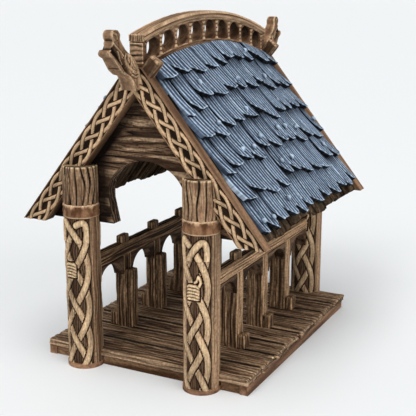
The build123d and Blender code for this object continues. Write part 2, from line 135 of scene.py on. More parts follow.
class LychgatePaint(bpy.types.PropertyGroup):
    """Colours of the paintwork."""
    timber: colour("Timber", "Carved timber", (0.250, 0.120, 0.060))
    log: colour("Log", "Posts", (0.330, 0.162, 0.088))
    # painted shade: the left posts' base is darker than the right posts', for the shade they stand
    # in
    log_left_shaded: colour("Left logs", "Posts on the left, darker for painted shade",
                     (0.270, 0.128, 0.066))
    panel: colour("Gable boards", "Boards that close the gables", (0.140, 0.066, 0.034))
    rail: colour("Rail", "Side rails", (0.078, 0.035, 0.0165))
    crest: colour("Crest rail", "Rail on top of the crest", (0.46, 0.275, 0.155))
    # this colour also paints the painted highlight on the rails' and balusters' outer faces
    rail_edge: colour("Rail edges", "Warm brushing on the side rails", (0.84, 0.53, 0.30))
    deck: colour("Deck", "Deck boards and sills", (0.150, 0.063, 0.025))
    collar: colour("Collar", "Bands round the posts", (0.240, 0.094, 0.034))
    # this colour also paints the painted shade that the shade masks and the groove tones carry
    wash: colour("Wash", "Dark wash in the grooves, and painted shade", (0.0065, 0.0036, 0.0024))
    # this colour also paints the painted highlight on the front deck plank's forward face
    brushed: colour("Brushed edges", "Pale brushing on worn edges", (0.86, 0.60, 0.375))
    strand: colour("Strands", "Plaited strands", (0.74, 0.515, 0.305))
    # this colour also paints the painted highlight on the right posts' plain outer side
    strand_top: colour("Strand tops", "Pale brushing on the posts", (0.97, 0.725, 0.450))
    # near black: dark paint with painted shade, for the shade under the roof
    roof_board: colour("Roof boards", "Boards under the shingles", (0.013, 0.0075, 0.0048))
    slate: colour("Shingles", "Slate-blue shingles", (0.066, 0.110, 0.206))
    # this colour also paints the painted shadows under the shingles' tips, and the painted shade on
    # their flanks, undersides and tip faces
    slate_wash_and_shade: colour("Shingle wash", "Dark wash and painted shadow between the shingles", (0.0055, 0.0052, 0.0060))
    slate_pale: colour("Shingle edges", "Pale brushing on the shingles", (0.52, 0.65, 0.80))
    floor: colour("Floor", "Studio floor", (0.795, 0.817, 0.832))


# ---- numpy shapes -----------------------------------------------------------------------------
def ripple(seed, *coordinates):
    """Smooth noise between about -1 and 1: a sum of eight sine waves whose directions, lengths
    and phases are drawn from the seed.  One unit of a coordinate is about one bump."""
    rng = np.random.default_rng(seed)
    total = 0.0
    for octave in range(8):
        wave = rng.normal(size=len(coordinates))
        wave *= (1.4 + 0.45 * octave) / np.linalg.norm(wave)
        phase = rng.uniform(0, 2 * pi)
        total = total + np.sin(sum(w * c for w, c in zip(wave, coordinates)) * 2 + phase)
    return total / 4.0


def grain_grooves(seed, along, across, pitch, wander=0.55, sharp=0.16, stretch=9.0):
    """Carved wood grain, 1 in the middle of a groove and 0 between grooves.  A groove lies where
    the position across the grain, counted in pitches and bent by noise drawn out along the
    grain, passes a whole number."""
    bent = across / pitch + wander * ripple(seed, along / (stretch * pitch), across / (2.2 * pitch))
    bent = bent + 0.35 * wander * ripple(seed + 1, along / (2.5 * stretch * pitch), across / pitch)
    from_groove = np.abs((bent + 0.5) % 1.0 - 0.5)
    strength = 0.72 + 0.35 * ripple(seed + 2, along / (0.55 * stretch * pitch),
                                     across / (1.5 * pitch))
    return np.clip(strength, 0.15, 1.0) * np.exp(-(from_groove / sharp) ** 2)


def soften(height, passes):
    """The height averaged with its neighbours in both directions, as often as passes says."""
    out = height
    for _ in range(passes):
        padded = np.pad(out, ((1, 1), (1, 1)), mode="edge")
        out = (padded[1:-1, 1:-1] * 2 + padded[:-2, 1:-1] + padded[2:, 1:-1]
               + padded[1:-1, :-2] + padded[1:-1, 2:]) / 6
    return out


def relief_tones(height, passes, depth):
    """Ridge and groove masks of a height field: how far a point stands above or below the
    softened surface round it, in shares of depth."""
    rise = (height - soften(height, passes)) / depth
    return np.clip(rise, 0, 1), np.clip(-rise, 0, 1)


def plait(along, across, pitch, reach, radius, halo=1.32):
    """Height shares of a four-strand plait, and the mask of its strands.

    Strand k follows across = reach * sin(phase), where its phase grows by a quarter turn for
    each pitch along.  A strand is round: its height is the root of 1 less a power of the
    distance to its centre line in radii.  Its level rises and falls between its crossings, so
    that it rides over and under its neighbours in turn.  Strands are laid from the lowest to
    the highest level, and each clears a narrow gap, out to halo radii, in those below it."""
    shape = np.broadcast(along, across).shape
    away, level = np.empty((4,) + shape), np.empty((4,) + shape)
    crossings = np.radians([0, 45, 90, 135, 180, 225, 270, 315, 360])
    for k in range(4):
        phase = (along / pitch + k) * pi / 2
        slope = reach * np.cos(phase) * pi / (2 * pitch)
        away[k] = np.abs(across - reach * np.sin(phase)) / np.sqrt(1 + slope ** 2) / radius
        level[k] = np.interp(phase % (2 * pi), crossings, [-1, 1, 0, -1, 1, -1, 0, 1, -1])
    order = np.argsort(level, axis=0)
    share, on = np.zeros(shape), np.zeros(shape)
    for near, lift in zip(np.take_along_axis(away, order, 0),
                          np.take_along_axis(level, order, 0)):
        dome = np.sqrt(np.clip(1 - near ** 2.4, 0, 1)) * (0.8 + 0.2 * lift)
        share = np.where(near < halo, dome, share)
        on = np.where(near < halo, near < 0.97, on)
    return share, on.astype(float)


def path_distance(y, z, points):
    """Distance from every (y, z) to a line through the points, and how far along it, from 0 to
    1, the nearest place is."""
    points = np.array(points, float)
    best = np.full(np.shape(y), 1e9)
    along = np.zeros(np.shape(y))
    count = len(points) - 1
    for i in range(count):
        run = points[i + 1] - points[i]
        share = ((y - points[i, 0]) * run[0] + (z - points[i, 1]) * run[1]) / (run @ run)
        share = np.clip(share, 0, 1)
        away = np.hypot(y - points[i, 0] - share * run[0], z - points[i, 1] - share * run[1])
        nearer = away < best
        best = np.where(nearer, away, best)
        along = np.where(nearer, (i + share) / count, along)
    return best, along


def new_mesh(name, points, faces, tones, node=None):
    """A mesh object from points in millimetres and faces; tones are the named values of its
    points, which its paint reads."""
    mesh = bpy.data.meshes.new(name)
    mesh.from_pydata((points * MM).tolist(), [], faces)
    for tone, values in tones.items():
        kind = "FLOAT_VECTOR" if np.ndim(values) == 2 else "FLOAT"
        attribute = mesh.attributes.new(tone, kind, "POINT")
        key = "vector" if kind == "FLOAT_VECTOR" else "value"
        attribute.data.foreach_set(key, np.asarray(values, dtype=np.float32).ravel())
    mesh.update()
    mesh.validate()
    mesh.shade_smooth()
    mesh.set_sharp_from_angle(angle=radians(42))
    piece = bpy.data.objects.new(name, mesh)
    bpy.context.collection.objects.link(piece)
    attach(piece, "root")
    if node:
        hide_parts(*node)
    return piece


def skin(name, rings, tones, node=None):
    """Closed tubes made into one object.

    rings has the shape (pieces, rings, corners, 3).  Neighbouring corners of neighbouring rings
    make a four-sided face, the last corner joins the first, and a flat cap closes each end.  A
    tube whose faces would point inwards is turned round first: its volume, added up over the
    faces, would be negative.  A tone that isn't given is 0 everywhere."""
    count, rows, corners, _ = rings.shape
    tones = {key: tones.get(key, 0.0) for key in TONES}
    tones = {key: np.broadcast_to(value, rings.shape[:3] + np.shape(value)[3:]).copy()
             for key, value in tones.items()}
    middle = rings.mean(axis=(1, 2), keepdims=True)
    here = rings - middle
    beside = np.roll(here, -1, axis=2)
    normal = np.cross(beside[:, :-1] - here[:, :-1], here[:, 1:] - here[:, :-1])
    volume = (normal * here[:, :-1]).sum(axis=(1, 2, 3))
    turned = volume < 0
    rings = rings.copy()
    rings[turned] = rings[turned][:, :, ::-1]
    for key in tones:
        tones[key][turned] = tones[key][turned][:, :, ::-1]

    index = np.arange(count * rows * corners).reshape(count, rows, corners)
    nxt = np.roll(index, -1, axis=2)
    quads = np.stack([index[:, :-1], nxt[:, :-1], nxt[:, 1:], index[:, 1:]], axis=-1)
    faces = quads.reshape(-1, 4).tolist()
    faces += index[:, 0, ::-1].tolist() + index[:, -1].tolist()
    flat = {key: value.reshape((-1,) + value.shape[3:]) for key, value in tones.items()}
    return new_mesh(name, rings.reshape(-1, 3), faces, flat, node)


def tube(name, grid, tones, node):
    """One closed tube, whose rings are the rows of a grid of points."""
    return skin(name, grid[None], {key: value[None] for key, value in tones.items()},
                [node])


def bar_section(half_wide, half_deep, corner, per_side=5, per_corner=3):
    """Outline of a rounded rectangle, its outward normals and its closeness to an arris.

    half_wide, half_deep and corner are arrays over the pieces; the arrays that come back have
    the shape (pieces, corners)."""
    turn = np.linspace(0, pi / 2, per_corner)
    signs = ((1, 1), (-1, 1), (-1, -1), (1, -1))
    across, deep, normal, arris = [], [], [], []

    def corner_point(quarter, angle):
        """Point of a quarter's rounded corner, at an angle round it."""
        sign_x, sign_y = signs[quarter % 4]
        return (sign_x * (half_wide - corner) + corner * np.cos(angle),
                sign_y * (half_deep - corner) + corner * np.sin(angle))

    for quarter in range(4):
        angle = turn + quarter * pi / 2
        points = [corner_point(quarter, a) for a in angle]
        normal += [(cos(a), sin(a)) for a in angle]
        arris += [1.0] * per_corner
        last = angle[-1]
        here, there = points[-1], corner_point(quarter + 1, last)
        for share in np.arange(1, per_side + 1) / (per_side + 1):
            points.append([a * (1 - share) + b * share for a, b in zip(here, there)])
            normal.append((cos(last), sin(last)))
            arris.append(max(0.0, 1 - 4.4 * min(share, 1 - share)) ** 2)
        across += [point[0] for point in points]
        deep += [point[1] for point in points]
    return (np.stack(across, -1), np.stack(deep, -1), np.array(normal), np.array(arris))


def timbers(name, start, end, side, half_wide, half_deep, node=None, corner=0.35,
            seed=1, rows=40, pitch=1.1, depth=0.12, ragged=0.0, bow=None, per_side=7,
            dark_sides=None, wander=0.55, stretch=9.0, scuffs=0.0, highlight_side=None):
    """Straight timbers with worn arrises, carved grain and slightly uneven faces.

    start, end and side have the shape (pieces, 3); side points across the timber, and the
    third direction is square to both.  The section is a rounded rectangle carried from start to
    end.  It shrinks near both ends as a quarter circle does, which rounds the ends, and moves
    in by the grain's groove times depth.  bow, where given, is added to each point's place as a
    function of its share along the timber.  dark_sides darkens the two faces square to side: a
    wash in the deck's joints, and painted shade on the crossing ends.  scuffs is the paleness of
    the scratches near the ends, and highlight_side is a direction whose length is the painted
    highlight, standing in for light, on the faces that look that way."""
    start, end, side = (np.atleast_2d(np.asarray(a, float)) for a in (start, end, side))
    count = len(start)
    half_wide = np.broadcast_to(np.asarray(half_wide, float), (count,))
    half_deep = np.broadcast_to(np.asarray(half_deep, float), (count,))
    corner = np.broadcast_to(np.asarray(corner, float), (count,))
    run = end - start
    full = np.linalg.norm(run, axis=1)
    ahead = run / full[:, None]
    up = np.cross(ahead, side)
    wide, deep, normal, arris = bar_section(half_wide, half_deep, corner, per_side)

    share = np.linspace(0, 1, rows)
    share = np.concatenate([[0.0], share[:1] + 0.25 / rows, share[1:-1],
                            [1 - 0.25 / rows], [1.0]])
    along = share[None] * full[:, None]
    from_end = np.minimum(along, full[:, None] - along)
    inset = np.clip(corner[:, None] - from_end, 0, None)
    inset = corner[:, None] - np.sqrt(np.clip(corner[:, None] ** 2 - inset ** 2, 0, None))

    piece = np.arange(count)[:, None, None] * 37.0
    place = along[:, :, None] + 0 * wide[:, None]
    girth = np.cumsum(np.hypot(np.diff(wide, axis=1, append=wide[:, :1]),
                               np.diff(deep, axis=1, append=deep[:, :1])), axis=1)
    girth = girth[:, None] + 0 * place
    groove = grain_grooves(seed, place + piece, girth + piece, pitch, wander, 0.16, stretch)
    uneven = 0.05 * ripple(seed + 5, (place + piece) / 5, girth / 3)
    shift = -depth * groove * (1 - 0.4 * arris) + uneven - inset[:, :, None]
    rough = ragged * ripple(seed + 9, wide[:, None] / 0.9 + piece, deep[:, None] / 3 + 0 * place)
    ends_only = np.exp(-from_end / 1.5)[:, :, None] * np.sign(share - 0.5)[None, :, None]
    place = place + rough * ends_only

    wide = wide[:, None] + shift * normal[:, 0]
    deep = deep[:, None] + shift * normal[:, 1]
    rings = (start[:, None, None] + place[..., None] * ahead[:, None, None]
             + wide[..., None] * side[:, None, None] + deep[..., None] * up[:, None, None])
    if bow is not None:
        rings = rings + bow(share)[None, :, None]
    if dark_sides is not None:
        amount = np.broadcast_to(dark_sides, (count, 2))
        flank = amount[:, :1] * (normal[:, 0] < -0.5) + amount[:, 1:] * (normal[:, 0] > 0.5)
        groove = np.maximum(groove, flank[:, None] * (from_end[:, :, None] > 0.5))
    near_end = np.exp(-from_end / 0.45)[:, :, None]
    wear = 0.55 + 0.45 * ripple(seed + 3, (along[:, :, None] + piece) / (0.25 * stretch),
                                girth / 1.5)
    scratch = ripple(seed + 11, (place + piece) / 1.6, (girth + piece) / 0.5)
    scratch = scuffs * np.clip(scratch * 2.2 - 0.4, 0, 1) * np.exp(-from_end / 4.5)[:, :, None]
    brushed = np.maximum(np.maximum(arris, 0.8 * near_end) * wear, scratch)
    # painted highlight: the faces that look the given way are painted paler, for the light falling
    # on them
    if highlight_side is not None:
        facing = ((side @ np.array(highlight_side))[:, None] * normal[:, 0]
                  + (up @ np.array(highlight_side))[:, None] * normal[:, 1])
        brushed = np.maximum(brushed, np.clip(facing, 0, 1)[:, None] * (1 - groove))
    tones = {
        "ridge": np.clip(brushed, 0, 1),
        "groove": np.clip(groove * 0.95, 0, 1),
        "grain": np.stack([place + piece, girth + 3.1 * piece, 0 * girth + piece], -1),
    }
    return skin(name, rings, tones, node)


# ---- roof plane -------------------------------------------------------------------------------
def gable_slope():
    """Rise of the gable in millimetres, and the angle of its slope."""
    rise = bpy.context.scene.lychgate_carving.gable_rise * 1000
    return rise, np.arctan2(rise, TIP_X)


def ridge_radius():
    """Radius of the ridge's arc, in millimetres, from its fall over half the roof."""
    fall = bpy.context.scene.lychgate_roof.ridge_fall * 1000
    return (BARGE_BACK ** 2 + fall ** 2) / (2 * fall)


def roof_shape():
    """The fall of the ridge as a function of y, and the roof's height as a function of x and
    y."""
    roof = bpy.context.scene.lychgate_roof
    rise, slope = gable_slope()
    peak, lift = roof.ridge_peak * 1000, roof.ridge_lift * 1000
    radius = ridge_radius()

    def arc_fall(y):
        """Fall of the ridge's circular arc from its highest point to y."""
        return radius - np.sqrt(radius ** 2 - (y - peak) ** 2)

    def plane(x, y, over):
        """Height of the roof at x and y, at a distance over the bargeboards' top plane."""
        up = 1 - np.abs(x) / TIP_X
        return TIP_Z + up * (rise + lift - arc_fall(y) * 1.08) + over / np.cos(slope)

    return arc_fall, plane


# ---- paint ------------------------------------------------------------------------------------
def add_node(tree, kind, x, y, **values):
    """A shader node at a place in the tree, with properties or unlinked inputs set by name."""
    node = tree.nodes.new(kind)
    node.location = (x, y)
    for key, value in values.items():
        if hasattr(node, key):
            setattr(node, key, value)
        else:
            node.inputs[key.replace("_", " ")].default_value = value
    return node


GRAIN_MASKS = ("Streak", "Line", "Speck", "Comb", "Crest")


def floats(**defaults):
    """Number sockets of a group, with their defaults."""
    return [(name, "NodeSocketFloat", default) for name, default in defaults.items()]


def group_shell(name, inputs, outputs):
    """A new shader node group with its sockets, its input node and its output node."""
    tree = bpy.data.node_groups.new(name, "ShaderNodeTree")
    for label, kind, default in inputs:
        socket = tree.interface.new_socket(name=label, in_out="INPUT", socket_type=kind)
        if default is not None:
            socket.default_value = default
    for label, kind in outputs:
        tree.interface.new_socket(name=label, in_out="OUTPUT", socket_type=kind)
    return tree, add_node(tree, "NodeGroupInput", -900, 0), add_node(tree, "NodeGroupOutput",
                                                                     900, 0)


def maths(tree, operation, first, second, x, y, third=None, clamp=False):
    """A math node on sockets or numbers; returns its result."""
    node = add_node(tree, "ShaderNodeMath", x, y, operation=operation)
    node.use_clamp = clamp
    for socket, value in zip(node.inputs, (first, second, third)):
        if value is None:
            continue
        if isinstance(value, (int, float)):
            socket.default_value = value
        else:
            tree.links.new(value, socket)
    return node.outputs[0]


def mixed(tree, share, first, second, x, y):
    """A colour mix of two sockets or colours by a share; returns its result."""
    node = add_node(tree, "ShaderNodeMix", x, y, data_type="RGBA")
    for index, value in ((0, share), (6, first), (7, second)):
        if isinstance(value, (int, float, tuple)):
            node.inputs[index].default_value = value
        else:
            tree.links.new(value, node.inputs[index])
    return node.outputs[2]


def ramp(tree, value, zero, one, x, y):
    """A mask that grows evenly from 0, where the value is zero, to 1, where it is one."""
    steep = 1 / (one - zero)
    return maths(tree, "MULTIPLY_ADD", value, steep, x, y, -zero * steep, clamp=True)


def fine_grain_group():
    """Fine wood grain over a place in millimetres whose x runs along the grain.

    Streak is slow noise, Line is 1 in the fine dark lines along the noise's height lines, about
    Pitch apart, and Speck is small mottling.  Comb is 1 in long carved lines Spacing apart:
    Wander bends them, Thinness narrows them, and they break off where Streak is low.  Crest is
    1 on the crests between them."""
    tree, into, out = group_shell(
        "fine grain",
        [("Place", "NodeSocketVector", None)] + floats(Pitch=0.6, Spacing=1.4, Wander=0.8,
                                                       Thinness=5.0),
        [(name, "NodeSocketFloat") for name in GRAIN_MASKS])
    drawn = add_node(tree, "ShaderNodeVectorMath", -700, 100, operation="MULTIPLY")
    drawn.inputs[1].default_value = (0.09, 1.0, 1.0)
    tree.links.new(into.outputs["Place"], drawn.inputs[0])
    per = maths(tree, "DIVIDE", 1.0, into.outputs["Pitch"], -700, -200)
    noise = add_node(tree, "ShaderNodeTexNoise", -450, 200, Detail=3.0, Roughness=0.6)
    tree.links.new(drawn.outputs[0], noise.inputs["Vector"])
    tree.links.new(per, noise.inputs["Scale"])
    slow = add_node(tree, "ShaderNodeTexNoise", -450, -60, Scale=0.35, Detail=2.0)
    tree.links.new(drawn.outputs[0], slow.inputs["Vector"])
    speck = add_node(tree, "ShaderNodeTexNoise", -450, -320, Scale=1.3, Detail=4.0)
    tree.links.new(into.outputs["Place"], speck.inputs["Vector"])
    count = maths(tree, "MULTIPLY", noise.outputs[0], 7.0, -200, 200)
    wave = maths(tree, "PINGPONG", count, 0.5, 0, 200)
    line = ramp(tree, wave, 0.2, 0.0, 200, 200)
    # long lines: the place across the grain in spacings, bent by slow noise
    parts = add_node(tree, "ShaderNodeSeparateXYZ", -700, -450)
    tree.links.new(into.outputs["Place"], parts.inputs[0])
    row = maths(tree, "DIVIDE", parts.outputs["Y"], into.outputs["Spacing"], -450, -500)
    bend = add_node(tree, "ShaderNodeTexNoise", -450, -650, Scale=0.42, Detail=1.5)
    tree.links.new(drawn.outputs[0], bend.inputs["Vector"])
    sway = maths(tree, "MULTIPLY", bend.outputs[0], into.outputs["Wander"], -250, -650)
    sway = maths(tree, "MULTIPLY", sway, 5.0, -100, -650)
    row = maths(tree, "ADD", row, sway, 0, -500)
    from_line = maths(tree, "PINGPONG", row, 0.5, 150, -500)
    broken = ramp(tree, slow.outputs[0], 0.159, 0.614, 150, -700)
    crest = ramp(tree, from_line, 0.305, 0.405, 530, -850)
    comb = maths(tree, "SUBTRACT", 0.085, from_line, 230, -500)
    comb = maths(tree, "MULTIPLY_ADD", comb, into.outputs["Thinness"], 330, -500, 1.0,
                 clamp=True)
    comb = maths(tree, "MULTIPLY", comb, broken, 450, -500)
    for key, mask in zip(GRAIN_MASKS, (slow.outputs[0], line, speck.outputs[0], comb, crest)):
        tree.links.new(mask, out.inputs[key])


def brushed_paint_group():
    """Base paint, dark wash and dry brushing laid over each other.

    Base is varied by Streak and Speck.  The wash lies where Groove, Line or Comb is high, as
    far as Lines and Combing let it; where a piece's Groove carries painted shade, the wash's
    colour paints that shade.  The brushing lies where Ridge is high, and on the crests as far as
    Cresting lets it, but in no groove; where a piece's Ridge carries a painted highlight, the
    brushing paints it."""
    tree, into, out = group_shell(
        "brushed paint",
        [(name, "NodeSocketColor", None) for name in ("Base", "Wash", "Brushed")]
        + floats(Streak=0.5, Speck=0.5, Line=0.0, Groove=0.0, Ridge=0.0, Comb=0.0, Combing=0.0,
                 Crest=0.0, Cresting=0.0, Lines=0.6, Brushing=0.8),
        [("Colour", "NodeSocketColor"), ("Roughness", "NodeSocketFloat"),
         ("Height", "NodeSocketFloat")])
    put = into.outputs
    pale = mixed(tree, 0.20, put["Base"], put["Brushed"], -650, 350)
    dim = mixed(tree, 0.62, put["Base"], put["Wash"], -650, 150)
    tone = ramp(tree, put["Streak"], 0.381, 0.619, -650, -50)
    body = mixed(tree, tone, dim, pale, -420, 250)
    mottle = ramp(tree, put["Speck"], 0.633, 0.3, -420, 30)
    mottle = maths(tree, "MULTIPLY", mottle, 0.5, -250, 30)
    body = mixed(tree, mottle, body, dim, -200, 250)
    lines = maths(tree, "MULTIPLY", put["Line"], put["Lines"], -200, -150)
    combed = maths(tree, "MULTIPLY", put["Comb"], put["Combing"], -200, -250)
    lines = maths(tree, "MAXIMUM", lines, combed, -50, -200)
    dark = maths(tree, "MAXIMUM", lines, put["Groove"], 80, -150, clamp=True)
    body = mixed(tree, dark, body, put["Wash"], 150, 250)
    worn = ramp(tree, put["Speck"], 0.088, 0.676, -200, -350)
    between = maths(tree, "MULTIPLY", put["Crest"], put["Cresting"], -200, -450)
    between = maths(tree, "MULTIPLY", between, worn, 0, -450)
    worn = maths(tree, "MULTIPLY", worn, put["Ridge"], 0, -350)
    worn = maths(tree, "ADD", worn, between, 80, -400)
    open_part = maths(tree, "SUBTRACT", 1.0, put["Groove"], 0, -600, clamp=True)
    worn = maths(tree, "MULTIPLY", worn, open_part, 120, -500)
    worn = maths(tree, "MULTIPLY", worn, put["Brushing"], 150, -350, clamp=True)
    body = mixed(tree, worn, body, put["Brushed"], 400, 250)
    rough = maths(tree, "MULTIPLY_ADD", put["Speck"], 0.25, 400, -150, 0.52)
    height = maths(tree, "MULTIPLY_ADD", lines, -1.0, 400, -350, put["Streak"])
    for key, value in (("Colour", body), ("Roughness", rough), ("Height", height)):
        tree.links.new(value, out.inputs[key])


def paint(name, base, pitch=0.7, lines=0.6, brushing=0.8, bump=0.12, wash=None, brushed=None,
          along=None, strands=False, spacing=1.4, wander=0.8, combing=0.0, cresting=0.0,
          thinness=5.0, shade=None, gloss=0.06):
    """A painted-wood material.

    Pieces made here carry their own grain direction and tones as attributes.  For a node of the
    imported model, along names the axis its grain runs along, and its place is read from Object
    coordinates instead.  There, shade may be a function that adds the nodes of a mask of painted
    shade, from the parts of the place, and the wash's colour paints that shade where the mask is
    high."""
    colours = bpy.context.scene.lychgate_paint
    material = bpy.data.materials.new(name)
    material.use_nodes = True
    tree = material.node_tree
    tree.nodes.clear()
    out = add_node(tree, "ShaderNodeOutputMaterial", 900, 0)
    shader = add_node(tree, "ShaderNodeBsdfPrincipled", 600, 0, Specular_IOR_Level=gloss)
    tree.links.new(shader.outputs[0], out.inputs[0])
    grain = add_node(tree, "ShaderNodeGroup", -300, 100,
                     node_tree=bpy.data.node_groups["fine grain"], Pitch=pitch,
                     Spacing=spacing, Wander=wander, Thinness=thinness)
    layers = add_node(tree, "ShaderNodeGroup", 200, 0,
                      node_tree=bpy.data.node_groups["brushed paint"], Base=tuple(base),
                      Wash=tuple(wash or colours.wash),
                      Brushed=tuple(brushed or colours.brushed), Lines=lines,
                      Combing=combing, Cresting=cresting, Brushing=brushing)
    if along is None:
        place = add_node(tree, "ShaderNodeAttribute", -600, 100, attribute_name="grain")
        tree.links.new(place.outputs["Vector"], grain.inputs["Place"])
        for index, tone in enumerate(("groove", "ridge")):
            value = add_node(tree, "ShaderNodeAttribute", -300, -150 - 200 * index,
                             attribute_name=tone)
            tree.links.new(value.outputs["Fac"], layers.inputs[tone.capitalize()])
        if strands:
            value = add_node(tree, "ShaderNodeAttribute", -300, -600, attribute_name="strand")
            base_mix = mixed(tree, value.outputs["Fac"], tuple(base), tuple(colours.strand),
                             -50, 300)
            tree.links.new(base_mix, layers.inputs["Base"])
    else:
        where = add_node(tree, "ShaderNodeTexCoord", -900, 100)
        turned = {"x": (0, 0, 0), "y": (0, 0, -pi / 2)}[along]
        turn = add_node(tree, "ShaderNodeMapping", -700, 100, Scale=(1000, 1000, 1000),
                        Rotation=turned)
        tree.links.new(where.outputs["Object"], turn.inputs["Vector"])
        tree.links.new(turn.outputs[0], grain.inputs["Place"])
        if shade:
            parts = add_node(tree, "ShaderNodeSeparateXYZ", -900, -500)
            tree.links.new(where.outputs["Object"], parts.inputs[0])
            tree.links.new(shade(tree, *parts.outputs), layers.inputs["Groove"])
    for key in GRAIN_MASKS:
        tree.links.new(grain.outputs[key], layers.inputs[key])
    relief = add_node(tree, "ShaderNodeBump", 400, -300, Strength=0.9, Distance=bump * MM)
    tree.links.new(layers.outputs["Height"], relief.inputs["Height"])
    tree.links.new(layers.outputs["Colour"], shader.inputs["Base Color"])
    tree.links.new(layers.outputs["Roughness"], shader.inputs["Roughness"])
    tree.links.new(relief.outputs[0], shader.inputs["Normal"])
    return material


def painted_shade_in_openings(tree, x, y, z):
    """Mask of the painted shade inside the openings of the pierced web: high away from both
    faces, and higher towards the tops of the openings, where the shade is deepest; their heights
    follow the ridge's arc.  The arc falls by half the square of the distance from its peak over
    its radius."""
    peak = bpy.context.scene.lychgate_roof.ridge_peak
    aside = maths(tree, "ABSOLUTE", x, None, -700, -500)
    inward = ramp(tree, aside, 0.00163, 0.00101, -500, -500)
    from_peak = maths(tree, "SUBTRACT", y, peak, -700, -700)
    square = maths(tree, "MULTIPLY", from_peak, from_peak, -500, -700)
    straight = maths(tree, "MULTIPLY_ADD", square, 0.5 / (ridge_radius() * MM), -300, -700, z)
    upper = ramp(tree, straight, 0.09868, 0.10493, -100, -700)
    return maths(tree, "MULTIPLY", inward, upper, 50, -600)


def painted_shade_under_boards(tree, x, y, z):
    """Mask of the painted shadow on the gable board: the bargeboards' shadow on the strip under
    them, high at their lower edges and gone 7 mm further down the board, deeper on the left, and
    the left post's shadow, high beside it."""
    rise, slope = gable_slope()
    width = bpy.context.scene.lychgate_carving.board_width
    edge = (TIP_Z + rise) * MM - width / cos(slope)
    aside = maths(tree, "ABSOLUTE", x, None, -700, -500)
    line = maths(tree, "MULTIPLY_ADD", aside, tan(slope), -500, -500, z)
    below = maths(tree, "SUBTRACT", edge, line, -300, -500)
    strip = ramp(tree, below, 0.00688, 0.00271, -100, -500)
    side = ramp(tree, x, 0.02333, -0.01, -300, -700)
    strip = maths(tree, "MULTIPLY", strip, side, 50, -600)
    left = ramp(tree, x, -0.00853, -0.01379, -300, -850)
    left = maths(tree, "MINIMUM", left, 0.94, -100, -850)
    return maths(tree, "MAXIMUM", strip, left, 200, -600)


def give(piece, material):
    """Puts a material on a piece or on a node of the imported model."""
    if isinstance(piece, str):
        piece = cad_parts[piece]
    if piece.material_slots:
        for holder in piece.material_slots:
            holder.material = material
    else:
        piece.data.materials.append(material)


# ---- studio -----------------------------------------------------------------------------------
class LYCHGATE_OT_studio(bpy.types.Operator):
    """Pale floor, soft light and the camera"""
    bl_idname = "lychgate.studio"
    bl_label = "Studio"

    def execute(self, context):
        self.floor(context)
        self.air(context)
        self.lights(context)
        self.camera(context)
        context.scene.view_settings.view_transform = "Standard"
        return {"FINISHED"}

    def floor(self, context):
        """Round floor: the height is 0 out to the flat part's radius, and grows as the square
        of the distance past it, up to the rim."""
        flat, rim, high = 8.0, 14.0, 1.3
        away = np.concatenate([[0.001, 0.5, 2.0, 5.0], np.linspace(flat, rim, 14)])[:, None]
        around = np.linspace(0, 2 * pi, 64, endpoint=False)[None]
        rise = high * (np.clip(away - flat, 0, None) / (rim - flat)) ** 2 + 0 * around
        grid = np.stack([away * np.cos(around), away * np.sin(around), rise], -1)
        rows, columns = rise.shape
        index = np.arange(rows * columns).reshape(rows, columns)
        after = np.roll(index, -1, 1)
        quads = np.stack([index[:-1], index[1:], after[1:], after[:-1]], -1)
        mesh = bpy.data.meshes.new("studio_floor")
        mesh.from_pydata(grid.reshape(-1, 3).tolist(), [], quads.reshape(-1, 4).tolist())
        mesh.shade_smooth()
        floor = bpy.data.objects.new("studio_floor", mesh)
        context.collection.objects.link(floor)
        material = bpy.data.materials.new("studio paper")
        material.use_nodes = True
        shader = material.node_tree.nodes["Principled BSDF"]
        shader.inputs["Base Color"].default_value = tuple(context.scene.lychgate_paint.floor)
        shader.inputs["Roughness"].default_value = 0.6
        shader.inputs["Specular IOR Level"].default_value = 0.2
        mesh.materials.append(material)

    def air(self, context):
        """The air lights the model softly, and where it shows past the floor it is as pale as
        the floor."""
        soft, pale = 0.39, 0.93
        world = bpy.data.worlds.new("studio air")
        world.use_nodes = True
        tree = world.node_tree
        glow = tree.nodes["Background"]
        glow.inputs["Color"].default_value = (0.955, 0.975, 1.0, 1)
        ray = add_node(tree, "ShaderNodeLightPath", -700, 0)
        seen = maths(tree, "MULTIPLY_ADD", ray.outputs["Is Camera Ray"], pale - soft, -400, 0,
                     soft)
        tree.links.new(seen, glow.inputs["Strength"])
        context.scene.world = world

    def lights(self, context):
        """Three broad lights, each turned to shine from its place to the middle."""
        for name, place, spread, power, tint in (
                ("top_light", (0.05, -0.25, 0.95), 60, 1.50, (1.0, 0.985, 0.965)),
                ("front_light", (-0.10, -0.72, 0.68), 28, 0.95, (1.0, 0.99, 0.975)),
                ("side_light", (0.90, -0.30, 0.45), 50, 1.05, (1.0, 0.985, 0.965))):
            light = bpy.data.lights.new(name, "SUN")
            light.angle = radians(spread)
            light.energy = power
            light.color = tint
            lamp = bpy.data.objects.new(name, light)
            lamp.location = place
            aside = np.hypot(place[0], place[1])
            lamp.rotation_euler = (np.arctan2(aside, place[2]), 0,
                                   np.arctan2(place[0], -place[1]))
            context.collection.objects.link(lamp)

    def camera(self, context):
        """The camera stands in front to the right and looks down a little."""
        look_down, turned = radians(14.0946), radians(27.0718)
        lens = bpy.data.cameras.new("studio_camera")
        lens.sensor_width = 36
        lens.lens = 77.57
        lens.clip_start = 0.001
        camera = bpy.data.objects.new("studio_camera", lens)
        camera.location = (0.133356, -0.258960, 0.116082)
        camera.rotation_euler = (pi / 2 - look_down, 0, turned)
        context.collection.objects.link(camera)
        context.scene.camera = camera


